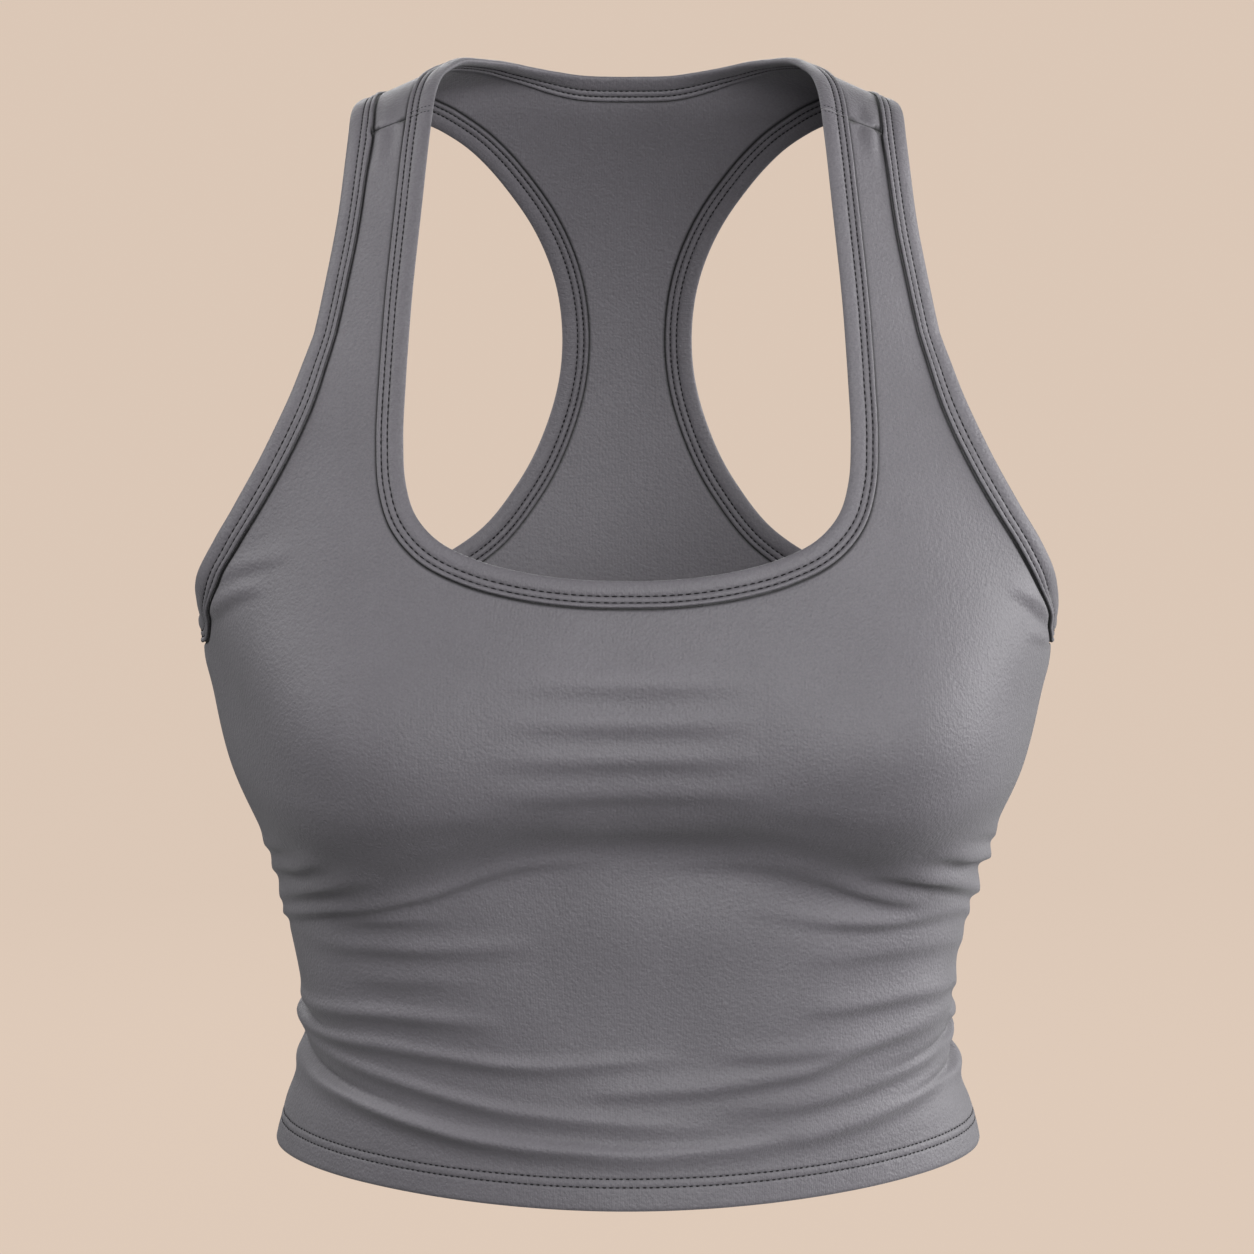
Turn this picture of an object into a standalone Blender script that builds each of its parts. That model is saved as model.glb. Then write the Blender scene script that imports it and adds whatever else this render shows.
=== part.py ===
"""Cropped tank top with a scooped neck and a racer back, as cloth pieces that keep their worn form.

Lengths are millimetres until the points are placed. +Z is up, the front faces -Y, and the origin lies on
the shoulder ridge, midway between the straps. A place on the cloth is (turn, along): the angle round from
the centre line, and the tape length over the ridge, below zero down the front and above zero down the back.
"""

import functools
import math

import bpy
import numpy as np
from mathutils.geometry import delaunay_2d_cdt

MM = 0.001

WALL = 1.0  # thickness of one layer of cloth
HEM_WALL = 2.0  # the turned-up hem is two layers
HEM_DEPTH = 13.0
HEM_STEP = 0.6
SEAM_GAP = 0.3
SIDE_TURN = 89.92  # the side seam, less half a seam gap
SEAM_ALONG = -36.5  # the shoulder seam lies just in front of the ridge
UNDERARM_HEIGHT = -201.0
TURN_LENGTH = 2.2  # length of one degree of turn at mid body

# centre line of the body form, from the front hem over the ridge to the back hem: depth, height
CENTRE_LINE = (
    (-104, -390), (-98, -362), (-95, -335), (-95, -310), (-99, -287), (-110, -266), (-122, -245),
    (-127, -224), (-124, -200), (-112, -166), (-98, -130), (-84, -94), (-69, -60), (-56, -34),
    (-43, -17), (-28, -6.5), (-14, -1.6), (0, 0), (14, -1), (28, -3.5), (42, -8), (54, -14),
    (66, -25), (76, -42), (84, -66), (89, -95), (91, -125), (90, -160), (86, -200), (80, -240),
    (72, -285), (68, -320), (70, -350), (78, -390),
)

# level sections of the body form: height, half width, squareness in front, squareness behind
SECTIONS = (
    (-390, 126.8, -0.02, 0.0), (-374, 122.8, -0.01, 0.01), (-356, 117.9, 0.01, 0.02),
    (-335, 117.3, 0.03, 0.03), (-302, 124.5, 0.035, 0.03), (-274, 132.8, 0.045, 0.03),
    (-245, 143.2, 0.055, 0.03), (-216, 149.2, 0.05, 0.03), (-195, 153.2, 0.045, 0.03),
    (-180, 153.4, 0.04, 0.03), (-151, 149.0, 0.03, 0.03), (-122, 142.5, 0.02, 0.03),
    (-94, 134.5, 0.02, 0.03), (-65, 128.0, 0.02, 0.03), (-36, 122.0, 0.02, 0.02), (0, 118.0, 0.02, 0.02),
)

# the ridge falls away outside the neck
SHOULDER_SLOPE = 0.48
SHOULDER_START = 63.0
SHOULDER_SOFTNESS = 9.0
SHOULDER_DEPTH = 130.0

# soft fullness of the front: turn, along, reach in turn, reach along, height
FULLNESS = (
    (-29, -268, 17, 33, 7.0),
    (29, -268, 17, 33, 7.0),
    (0, -262, 13, 34, 4.5),
)

# largest folds, which cross a side seam and fade out before and behind:
# side, height at the seam, front end (turn, along), back end (turn, along), sag, width, lift
SIDE_FOLDS = (
    (-1, -296, (-36, -328), (-48, 338), 2, 8, -2.2),
    (-1, -309, (-6, -320), (-30, 347), 1, 8, -3.2),
    (-1, -334, (-4, -390), (-14, 380), -3, 8, -3.2),
    (-1, -350, (8, -430), (-4, 413), 1, 8, -3.8),
    (1, -281, (46, -320), (55, 322), 1, 8, -2.0),
    (1, -296, (28, -336), (34, 334), 2, 8, -3.0),
    (1, -312, (30, -362), (20, 356), 1, 8, -2.0),
    (1, -333, (16, -388), (40, 380), -2, 8, -3.2),
    (1, -351, (10, -426), (16, 414), 2, 8, -3.8),
)

# soft bands between the fullness: along, reach in turn, width, lift
CENTRE_FOLDS = (
    (-251, 16, 7, -1.0),
    (-266, 16, 7, -1.2),
    (-283, 17, 8, -1.4),
    (-302, 20, 9, -1.8),
)

# finished edges of one half: turn, along
NECK_EDGE = (
    (-8, 53.2), (0, 53.5), (8, 52), (15, 45), (20, 34.5), (25, 20), (28.8, 6), (31, -9), (32.2, -25),
    (32.7, -42), (33.2, -66), (33.1, -95), (32.7, -120), (31.9, -143), (30.7, -165), (29.2, -179),
    (26.8, -190.5), (23.2, -199), (18.2, -205), (12, -209.3), (5, -211.7), (0, -212), (-5, -211.7),
)
ARMHOLE_FRONT = (
    (80.5, -241.6), (77.5, -234.4), (74.6, -223), (69.6, -209.5), (64.4, -197), (59, -178), (55.8, -156),
    (54, -136), (53, -112), (53, -88), (53.2, -62), (53, -36), (53, -12),
)
ARMHOLE_BACK = (
    (52, 8), (50.5, 24), (46.5, 42), (40, 60), (31.5, 75), (25.2, 87), (19.1, 102), (14.2, 118),
    (10.8, 136), (9, 156), (8.8, 173), (10.3, 194), (13.8, 216), (18.8, 233.5), (24.5, 243.6),
    (32, 249.6), (45, 253), (65, 253.6),
)

# cross section of a binding: distance in from the finished edge, height above the panel's face
BINDING_SECTION = (
    (10.5, 0.4), (10.5, 1.4), (1.3, 1.4), (0.0, 0.3), (0.0, -1.3),
    (1.3, -2.4), (10.5, -2.4), (10.5, -1.4), (1.3, -1.4), (1.3, 0.4),
)
PANEL_ROWS = (1.6, 11.5)  # rows of a panel beside a bound edge; the first is its cut edge

EDGE_SAMPLES = 420
EDGE_STEP = 12.4
BEND_WEIGHT = 14.0
HEM_STEPS = 20
GRID_TURN = 11.5
GRID_ALONG = 11.0
FOLDED_ALONG = 5.8  # closer rows of points where the folds are
FOLDED_FROM = 305.0
GRID_MARGIN = 3.0

CLOTH_COLOUR = (0.118, 0.116, 0.124, 1.0)
BINDING_COLOUR = (0.110, 0.108, 0.116, 1.0)
CLOTH_ROUGHNESS = 0.78


def smooth_through(knots, values, at):
    """Values of a smooth curve through the knots."""
    knots = np.asarray(knots, float)
    values = np.asarray(values, float)
    gaps = np.diff(knots)
    slopes = np.diff(values, axis=0) / gaps[:, None]
    share = (gaps[1:] / (gaps[1:] + gaps[:-1]))[:, None]
    tangents = np.vstack([slopes[:1], slopes[:-1] * share + slopes[1:] * (1 - share), slopes[-1:]])
    at = np.asarray(at, float)
    index = np.clip(np.searchsorted(knots, at, side="right") - 1, 0, len(gaps) - 1)
    gap = gaps[index][..., None]
    u = ((at - knots[index]) / gaps[index])[..., None]
    start = (2 * u**3 - 3 * u**2 + 1) * values[index] + (u**3 - 2 * u**2 + u) * gap * tangents[index]
    end = (3 * u**2 - 2 * u**3) * values[index + 1] + (u**3 - u**2) * gap * tangents[index + 1]
    return start + end


def lengths_along(points):
    """Running length of a row of points."""
    steps = np.linalg.norm(np.diff(np.asarray(points, float), axis=0), axis=1)
    return np.concatenate([[0.0], np.cumsum(steps)])


CENTRE_AT = lengths_along(CENTRE_LINE) - lengths_along(CENTRE_LINE)[CENTRE_LINE.index((0, 0))]
SECTION_ROWS = np.array(SECTIONS)


def body_point(turn, along):
    """Point of the smooth body form."""
    centre = smooth_through(CENTRE_AT, CENTRE_LINE, along)
    depth = centre[..., 0]
    height = centre[..., 1]
    section = smooth_through(SECTION_ROWS[:, 0], SECTION_ROWS[:, 1:], np.clip(height, -396, 0))
    square = np.where(along < 0, section[..., 1], section[..., 2])
    angle = np.radians(turn)
    x = section[..., 0] * ((1 + square) * np.sin(angle) + square * np.sin(3 * angle))
    y = depth * ((1 + square) * np.cos(angle) - square * np.cos(3 * angle))
    outside = np.abs(x) - SHOULDER_START
    fall = 0.5 * (outside + np.sqrt(outside**2 + SHOULDER_SOFTNESS**2))
    share = np.clip(1 + height / SHOULDER_DEPTH, 0, 1) ** 1.5
    return np.stack([x, y, height - SHOULDER_SLOPE * share * fall], -1)


@functools.lru_cache(maxsize=None)
def height_along(height, behind):
    """Tape length down the centre line to a height, in front or behind."""
    ridge = CENTRE_LINE.index((0, 0))
    line = CENTRE_LINE[ridge:] if behind else CENTRE_LINE[ridge::-1]
    lengths = lengths_along(line)
    samples = np.linspace(0, lengths[-1], 2000)
    heights = smooth_through(lengths, line, samples)[:, 1]
    found = float(np.interp(-height, -heights, samples))
    return found if behind else -found


def lift_of(turn, along):
    """Height of the fullness and the folds above the smooth form."""
    lift = np.zeros(np.broadcast(turn, along).shape)
    for at_turn, at_along, reach_turn, reach_along, height in FULLNESS:
        away = ((turn - at_turn) / reach_turn) ** 2 + ((along - at_along) / reach_along) ** 2
        lift = lift + height * np.exp(-away)
    for at_along, reach, width, height in CENTRE_FOLDS:
        fade = np.cos(np.clip(np.abs(turn / reach), 0, 1) * math.pi / 2)
        lift = lift + height * fade * np.exp(-(((along - at_along) / width) ** 2))
    for side, seam_height, front_end, back_end, sag, width, height in SIDE_FOLDS:
        for behind, (end_turn, end_along) in enumerate((front_end, back_end)):
            seam_along = height_along(seam_height, behind)
            share = np.clip((turn - 90 * side) / (end_turn - 90 * side), 0, 1)
            path = seam_along + (end_along - seam_along) * share
            path = path + math.copysign(4 * sag, end_along) * share * (1 - share)
            shown = np.cos(share * math.pi / 2) * ((along > 0) == bool(behind))
            lift = lift + height * shown * np.exp(-(((along - path) / width) ** 2))
    return lift


def face_of(point_of, turn, along):
    """Points of a surface and its outward normals."""
    step_turn = 0.05
    step_along = 0.1
    across = point_of(turn + step_turn, along) - point_of(turn - step_turn, along)
    down = point_of(turn, along + step_along) - point_of(turn, along - step_along)
    normal = np.cross(across, down)
    return point_of(turn, along), normal / np.linalg.norm(normal, axis=-1, keepdims=True)


def cloth_point(turn, along):
    """Point of the outer face of a panel."""
    point, normal = face_of(body_point, turn, along)
    return point + normal * lift_of(turn, along)[..., None]


def placed(places, height):
    """Points at a height above the outer face of the panels."""
    point, normal = face_of(cloth_point, places[:, 0], places[:, 1])
    return (point + normal * np.broadcast_to(height, len(places))[:, None]) * MM


def dense_edge(table):
    """The edge curve at even lengths, from its table."""
    scaled = np.array(table) * (TURN_LENGTH, 1)
    lengths = lengths_along(scaled)
    return smooth_through(lengths, scaled, np.linspace(0, lengths[-1], EDGE_SAMPLES)) / (TURN_LENGTH, 1)


def moved_in(edge, distance, side):
    """The edge moved over the surface into the cloth, in short steps."""
    steps = max(1, math.ceil(distance / 0.75))
    for _ in range(steps if distance else 0):
        turn, along = edge.T
        across = (body_point(turn + 0.05, along) - body_point(turn - 0.05, along)) / 0.1
        down = (body_point(turn, along + 0.1) - body_point(turn, along - 0.1)) / 0.2
        run = np.gradient(edge, axis=0)
        tangent = across * run[:, :1] + down * run[:, 1:]
        inward = side * np.cross(np.cross(across, down), tangent)
        inward /= np.linalg.norm(inward, axis=1, keepdims=True)
        inward *= distance / steps
        aa, dd, ad = (across**2).sum(1), (down**2).sum(1), (across * down).sum(1)
        pa, pd = (inward * across).sum(1), (inward * down).sum(1)
        flat = aa * dd - ad**2
        edge = edge + np.stack([(pa * dd - pd * ad) / flat, (pd * aa - pa * ad) / flat], 1)
    return edge


def crossing(row, axis, value, last=False):
    """Sample number where a row passes a value of turn or along."""
    away = row[:, axis] - value
    index = int(np.nonzero(away[:-1] * away[1:] <= 0)[0][-1 if last else 0])
    return index + away[index] / (away[index] - away[index + 1])


def sampled(row, places):
    """Places of a row at sample numbers."""
    numbers = np.arange(len(row))
    return np.stack([np.interp(places, numbers, row[:, axis]) for axis in (0, 1)], 1)


def stations(row, first, last):
    """Sample numbers along a row, closer together where it bends."""
    numbers = np.linspace(first, last, 600)
    points = cloth_point(*sampled(row, numbers).T)
    run = np.diff(points, axis=0)
    length = np.linalg.norm(run, axis=1)
    heading = run / length[:, None]
    bend = np.concatenate([[0.0], np.linalg.norm(np.diff(heading, axis=0), axis=1)])
    weight = np.concatenate([[0.0], np.cumsum(length + BEND_WEIGHT * bend)])
    count = max(2, round(weight[-1] / EDGE_STEP))
    return np.interp(np.linspace(0, weight[-1], count + 1), weight, numbers)


def strip(table, side, distances, start, end):
    """Rows of an edge strip at distances in from the edge, each cut at its two ends.

    start and end are (axis, value) pairs, and every row has one place per station.
    """
    edge = dense_edge(table)
    rows = {distance: moved_in(edge, distance, side) for distance in distances}
    ends = {key: (crossing(row, *start), crossing(row, *end, last=True)) for key, row in rows.items()}
    first, last = ends[distances[0]]
    share = (stations(rows[distances[0]], first, last) - first) / (last - first)
    return {
        distance: sampled(row, ends[distance][0] + share * (ends[distance][1] - ends[distance][0]))
        for distance, row in rows.items()
    }


def armhole_table(behind):
    """The armhole's finished edge from the side seam to just past the shoulder seam, or on down the back."""
    low = height_along(UNDERARM_HEIGHT, behind)
    if behind:
        return ARMHOLE_FRONT[-4:] + ARMHOLE_BACK + ((90, low), (98, low))
    return ((99, low + 2.2), (90, low), (84, low + 3.2)) + ARMHOLE_FRONT + ARMHOLE_BACK[:4]


def mirrored(places):
    """The same places on the other half."""
    return places * (-1, 1)


def both_halves(row):
    """A row that starts or ends at the centre line, carried on over it."""
    if abs(row[0, 0]) < abs(row[-1, 0]):
        row = row[::-1]
    row = row.copy()
    row[-1, 0] = 0.0
    return np.vstack([row, mirrored(row[-2::-1])])


def inside(polygon, places):
    """Which places lie inside a polygon."""
    found = np.zeros(len(places), bool)
    for (ax, ay), (bx, by) in zip(polygon, np.roll(polygon, -1, axis=0)):
        if ay == by:
            continue
        spans = (places[:, 1] > ay) != (places[:, 1] > by)
        found ^= spans & (places[:, 0] < ax + (places[:, 1] - ay) * (bx - ax) / (by - ay))
    return found


def distance_to(polygon, places):
    """Distance from each place to the nearest side of a polygon."""
    nearest = np.full(len(places), np.inf)
    for a, b in zip(polygon, np.roll(polygon, -1, axis=0)):
        run = b - a
        share = np.clip(((places - a) @ run) / max(run @ run, 1e-9), 0, 1)
        nearest = np.minimum(nearest, np.linalg.norm(places - a - share[:, None] * run, axis=1))
    return nearest


def grid_rows():
    """Tape lengths of the rows of points, closer together among the folds."""
    smooth = np.arange(0, FOLDED_FROM, GRID_ALONG)
    folded = np.arange(FOLDED_FROM, max(-CENTRE_AT[0], CENTRE_AT[-1]), FOLDED_ALONG)
    lengths = np.concatenate([smooth, folded])
    return np.concatenate([-lengths[:0:-1], lengths])


def grid_inside(polygon):
    """A staggered grid of places inside a polygon, clear of its sides."""
    count = math.ceil(90 / GRID_TURN)
    places = []
    for number, along in enumerate(grid_rows()):
        turns = (np.arange(-count, count + 1) + 0.5 * (number % 2)) * GRID_TURN
        places.append(np.stack([turns * TURN_LENGTH, np.full(len(turns), along)], 1))
    places = np.vstack(places)
    places = places[inside(polygon, places)]
    return places[distance_to(polygon, places) > GRID_MARGIN]


def triangulated(outline, rows, core):
    """Places and triangles that fill an outline, keeping its rows."""
    scale = np.array((TURN_LENGTH, 1))
    points = [tuple(place) for place in outline * scale]
    edges = [(i, (i + 1) % len(outline)) for i in range(len(outline))]
    for row in rows:
        first = len(points)
        points += [tuple(place) for place in row * scale]
        edges += [(first + i, first + i + 1) for i in range(len(row) - 1)]
    points += [tuple(place) for place in grid_inside(core * scale)]
    face = list(range(len(outline)))
    found = delaunay_2d_cdt(points, edges, [face], 1, 1e-4)
    places = np.array([tuple(point) for point in found[0]]) / scale
    triangles = np.array([tuple(triangle) for triangle in found[2]])
    a, b, c = (places[triangles[:, i]] for i in range(3))
    turned = (b - a)[:, 0] * (c - a)[:, 1] - (b - a)[:, 1] * (c - a)[:, 0] < 0
    triangles[turned] = triangles[turned][:, ::-1]
    return places, triangles


def rim_edges(triangles):
    """Edges that only one triangle uses, in its direction."""
    edges = np.concatenate([triangles[:, [0, 1]], triangles[:, [1, 2]], triangles[:, [2, 0]]])
    used = {tuple(edge) for edge in edges.tolist()}
    return [edge for edge in used if (edge[1], edge[0]) not in used]


def material(name, colour):
    """A matt cloth."""
    made = bpy.data.materials.new(name)
    made.use_nodes = True
    shader = made.node_tree.nodes["Principled BSDF"]
    shader.inputs["Base Color"].default_value = colour
    shader.inputs["Roughness"].default_value = CLOTH_ROUGHNESS
    shader.inputs["Metallic"].default_value = 0.0
    made.diffuse_color = colour
    return made


def add_object(name, points, faces, surface):
    """One node from points and faces."""
    mesh = bpy.data.meshes.new(name)
    mesh.from_pydata([tuple(point) for point in points], [], [tuple(face) for face in faces])
    mesh.materials.append(surface)
    mesh.shade_smooth()
    made = bpy.data.objects.new(name, mesh)
    bpy.context.scene.collection.objects.link(made)
    return made


def add_panel(name, outline, rows, core, hem, surface):
    """A panel of cloth with its turned-up hem."""
    places, triangles = triangulated(outline, rows, core)
    from_hem = np.abs(hem) - np.abs(places[:, 1])
    wall = np.where(from_hem < HEM_DEPTH + 0.1, HEM_WALL, WALL)
    points = np.vstack([placed(places, 0.0), placed(places, -wall)])
    count = len(places)
    faces = triangles.tolist() + (triangles[:, ::-1] + count).tolist()
    faces += [(b, a, a + count, b + count) for a, b in rim_edges(triangles)]
    return add_object(name, points, faces, surface)


def side_line(hem, tops):
    """Turn and along up the side seam, from the hem to the armhole."""
    hem_rows = [hem, hem - math.copysign(HEM_DEPTH, hem), hem - math.copysign(HEM_DEPTH + HEM_STEP, hem)]
    tops = sorted(tops, key=abs, reverse=True)
    rows = math.copysign(1, hem) * np.abs(grid_rows())
    clear = [along for along in set(rows) if abs(tops[0]) + 2 < abs(along) < abs(hem_rows[-1]) - 2]
    between = sorted(clear, key=abs, reverse=True)
    return np.array([(SIDE_TURN, along) for along in [*hem_rows, *between, *tops]])


def hem_row(hem, from_hem):
    """A row right across, level with the hem."""
    along = hem - math.copysign(from_hem, hem)
    turns = np.linspace(-SIDE_TURN, SIDE_TURN, HEM_STEPS + 1)
    return np.stack([turns, np.full(len(turns), along)], 1)


def build_front(surface):
    """The front, from the hem to the shoulder seams."""
    hem = float(CENTRE_AT[0])
    seam = SEAM_ALONG - SEAM_GAP / 2
    neck = strip(NECK_EDGE, 1, PANEL_ROWS, (1, seam), (0, 0.0))
    arm = strip(armhole_table(False), 1, PANEL_ROWS, (0, SIDE_TURN), (1, seam))
    cut, inner = PANEL_ROWS
    side = side_line(hem, [arm[row][0, 1] for row in PANEL_ROWS])
    shoulder = np.array([arm[inner][-1], neck[inner][0]])
    half = np.vstack([side[:-1], arm[cut], shoulder, neck[cut]])
    half[-1, 0] = 0.0
    bottom = hem_row(hem, 0)[1:-1]
    outline = np.vstack([bottom, half, mirrored(half[-2::-1])])
    rows = [hem_row(hem, HEM_DEPTH), hem_row(hem, HEM_DEPTH + HEM_STEP)]
    rows += [both_halves(neck[inner]), arm[inner], mirrored(arm[inner])]
    top = np.vstack([arm[inner], neck[inner]])
    core = np.vstack([hem_row(hem, HEM_DEPTH + HEM_STEP), top, mirrored(top[-2::-1])])
    return add_panel("front_panel", outline, rows, core, hem, surface)


def build_back(surface):
    """The racer back, from the hem over the ridge to the shoulder seams."""
    hem = float(CENTRE_AT[-1])
    seam = SEAM_ALONG + SEAM_GAP / 2
    neck = strip(NECK_EDGE[::-1], -1, PANEL_ROWS, (1, seam), (0, 0.0))
    arm = strip(armhole_table(True), 1, PANEL_ROWS, (1, seam), (0, SIDE_TURN))
    cut, inner = PANEL_ROWS
    side = side_line(hem, [arm[row][-1, 1] for row in PANEL_ROWS])
    shoulder = np.array([arm[inner][0], neck[inner][0]])
    half = np.vstack([side[:-1], arm[cut][::-1], shoulder, neck[cut]])
    half[-1, 0] = 0.0
    bottom = hem_row(hem, 0)[1:-1]
    outline = np.vstack([bottom, half, mirrored(half[-2::-1])])
    rows = [hem_row(hem, HEM_DEPTH), hem_row(hem, HEM_DEPTH + HEM_STEP)]
    rows += [both_halves(neck[inner]), arm[inner], mirrored(arm[inner])]
    top = np.vstack([arm[inner][::-1], neck[inner]])
    core = np.vstack([hem_row(hem, HEM_DEPTH + HEM_STEP), top, mirrored(top[-2::-1])])
    return add_panel("back_panel", outline, rows, core, hem, surface)


def add_binding(name, rows, ring, surface):
    """A folded strip along a row of stations, closed into a ring or with two flat ends."""
    loops = np.stack([placed(rows[distance], height) for distance, height in BINDING_SECTION], 1)
    count, size = loops.shape[:2]
    faces = []
    for i in range(count if ring else count - 1):
        here, there = i * size, (i + 1) % count * size
        for j in range(size):
            k = (j + 1) % size
            faces.append((here + j, here + k, there + k, there + j))
    if not ring:
        faces.append(tuple(range(size))[::-1])
        faces.append(tuple(range((count - 1) * size, count * size)))
    made = add_object(name, loops.reshape(-1, 3), faces, surface)
    if signed_volume(made.data) < 0:
        made.data.flip_normals()
    return made


def signed_volume(mesh):
    """Volume of a closed mesh, below zero when it is inside out."""
    mesh.calc_loop_triangles()
    corners = np.array([[mesh.vertices[i].co for i in loop.vertices] for loop in mesh.loop_triangles])
    return np.linalg.det(corners).sum() / 6


def build_neck_bindings(surface):
    """The front and back lengths, joined at the shoulder seams."""
    distances = sorted({distance for distance, _ in BINDING_SECTION})
    front = strip(NECK_EDGE, 1, distances, (1, SEAM_ALONG - SEAM_GAP / 2), (0, 0.0))
    back = strip(NECK_EDGE[::-1], -1, distances, (1, SEAM_ALONG + SEAM_GAP / 2), (0, 0.0))
    add_binding("neck_binding_front", {d: both_halves(row) for d, row in front.items()}, False, surface)
    add_binding("neck_binding_back", {d: both_halves(row) for d, row in back.items()}, False, surface)


def build_armhole_bindings(surface):
    """A closed ring round each armhole, joined under the arm."""
    distances = sorted({distance for distance, _ in BINDING_SECTION})
    front = strip(armhole_table(False), 1, distances, (0, 90.0), (1, SEAM_ALONG))
    back = strip(armhole_table(True), 1, distances, (1, SEAM_ALONG), (0, 90.0))
    rows = {d: np.vstack([front[d], back[d][1:-1]]) for d in distances}
    add_binding("armhole_binding_left", rows, True, surface)
    add_binding("armhole_binding_right", {d: mirrored(row) for d, row in rows.items()}, True, surface)


def main():
    for found in list(bpy.data.objects):
        bpy.data.objects.remove(found, do_unlink=True)
    build_front(material("front_cloth", CLOTH_COLOUR))
    build_back(material("back_cloth", CLOTH_COLOUR))
    build_neck_bindings(material("neck_binding_cloth", BINDING_COLOUR))
    build_armhole_bindings(material("armhole_binding_cloth", BINDING_COLOUR))


main()
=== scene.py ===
import math

import bpy
import numpy as np
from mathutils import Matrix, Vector
from mathutils.geometry import delaunay_2d_cdt
from mathutils.kdtree import KDTree


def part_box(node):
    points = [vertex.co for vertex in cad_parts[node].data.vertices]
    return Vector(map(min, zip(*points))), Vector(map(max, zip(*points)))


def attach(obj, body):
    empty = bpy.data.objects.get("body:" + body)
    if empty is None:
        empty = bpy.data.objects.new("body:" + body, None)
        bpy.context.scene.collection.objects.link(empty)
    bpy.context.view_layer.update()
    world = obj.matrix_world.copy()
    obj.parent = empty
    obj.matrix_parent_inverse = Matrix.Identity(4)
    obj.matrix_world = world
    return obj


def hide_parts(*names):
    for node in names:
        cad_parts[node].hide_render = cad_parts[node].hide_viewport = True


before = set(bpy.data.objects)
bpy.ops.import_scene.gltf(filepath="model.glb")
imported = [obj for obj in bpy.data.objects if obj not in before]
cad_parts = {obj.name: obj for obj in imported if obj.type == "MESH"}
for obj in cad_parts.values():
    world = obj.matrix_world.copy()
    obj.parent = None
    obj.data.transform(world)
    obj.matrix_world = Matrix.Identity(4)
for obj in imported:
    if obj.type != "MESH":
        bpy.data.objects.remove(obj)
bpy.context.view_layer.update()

print("frame loaded:", sorted(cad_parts))

# the form that the cloth keeps; lengths are millimetres, and a place on the cloth is (turn, along):
# the angle round from the centre line, 90 at the side seams, and the tape length over the shoulder
# ridge, minus down the front
bodyForm = {
    "hemDrop": 390.485,  # how far below the ridge the front panel ends
    # depth and height down the centre line, front hem to back hem
    "centreLine": (
        (-105, -390), (-101, -362), (-98, -335), (-98, -310), (-100, -287), (-102.5, -270), (-104.5, -261.5),
        (-110, -252.5), (-119.5, -243.5), (-126, -233), (-128, -221.5), (-125.5, -202), (-112, -166),
        (-98, -130), (-84, -94), (-69, -60), (-56, -34),
        (-43, -17), (-28, -6.5), (-14, -1.6), (0, 0), (14, -1), (28, -3.5), (43, -7.2), (54, -12.6),
        (61.5, -25), (72, -43), (82, -67), (88.5, -95), (91, -125), (90, -160), (86, -200), (80, -240),
        (72, -285), (68, -320), (70, -350), (78, -390),
    ),
    # height, half width, squareness in front, squareness behind
    "levels": (
        (-390, 126.8, -0.02, 0.0), (-374, 122.8, -0.01, 0.01), (-356, 117.2, 0.01, 0.02),
        (-335, 116.6, 0.03, 0.03), (-302, 122.3, 0.035, 0.03), (-274, 129.8, 0.045, 0.03),
        (-245, 142.1, 0.055, 0.03), (-216, 149.2, 0.05, 0.03), (-195, 153.2, 0.045, 0.03),
        (-180, 153.4, 0.04, 0.03), (-151, 149.0, 0.03, 0.03), (-122, 142.5, 0.02, 0.03),
        (-94, 134.5, 0.02, 0.03), (-65, 128.0, 0.02, 0.03), (-36, 122.0, 0.02, 0.02),
        (0, 118.0, 0.02, 0.02),
    ),
    "levelReach": (-396, 0),  # the heights between which they are read
    "tape": (4, 9000),  # how far the tape along the centre line runs past the hems, and in how many steps
    "nearRidge": 60,  # the tape's heights are looked up only further off than this
    "shoulderSlope": 0.48,
    "shoulderStart": 63.0,
    "shoulderSoftness": 9.0,
    "shoulderDepth": (130.0, 1.5),  # how far down the slope is felt, and how fast it fades
    # how much lower the underside of the bust lies, away from the centre
    "archDrop": (
        (-90, 24), (-62, 29), (-45, 31), (-30, 22), (-20, 14), (-9, 3), (0, 0), (8, 3), (14, 8),
        (20, 13), (30, 21), (45, 29), (62, 29), (90, 24),
    ),
    # the heights between which the drop comes in, holds and fades
    "archReach": (-345, -292, -246, -205),
    "backNeck": (29.5, 55.6, 1.75),  # its half width in turn, its reach behind the ridge, its roundness
    "neckStand": (1.5, 18, 8.5),  # rise, how far behind the ridge it is full, reach from the edge
    # how uneven the cloth is: rise, length round, length up, seed
    "waves": ((0.10, 7.0, 11.0, 1.0), (0.04, 2.6, 5.0, 2.0)),
    # where the cloth stands fuller or falls back: turn, height, reach in turn, reach in height, rise
    "fullness": (
        (-33, -222, 15, 24, 6.8), (35, -223, 15, 23, 7.2), (3, -226, 12, 22, -3.0),
        (-27, -226, 10, 22, 0.8), (-66, -212, 14, 34, -4.4), (66, -212, 14, 34, -1.6),
        (22, -246, 10, 12, -2.6), (12, -268, 14, 14, -5.2), (32, -278, 13, 14, -5.0),
        (-18, -270, 14, 14, -2.4), (-40, -285, 14, 14, 0.6), (-27, -262, 11, 12, 1.2),
        (-23, -320, 16, 24, 4.2), (24, -325, 16, 24, 4.3), (-58, -322, 16, 26, 4.4),
        (58, -328, 16, 26, 3.5), (0, -300, 16, 22, 1.4), (0, -350, 18, 20, 1.5),
        (-35, -355, 18, 20, 1.0), (35, -355, 18, 20, 0.8), (0, -258, 70, 45, 2.6),
        (-85, -177, 10, 18, 0.8), (-72, -178, 9, 12, 1.9), (82, -181, 9, 11, 1.7),
        (82, -382, 16, 18, 1.1), (-88, -212, 12, 7, 0.7), (88, -212, 12, 7, 0.7),
        (-91, -199, 9, 9, -1.6), (91, -199, 9, 9, -1.9),
    ),
}

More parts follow.
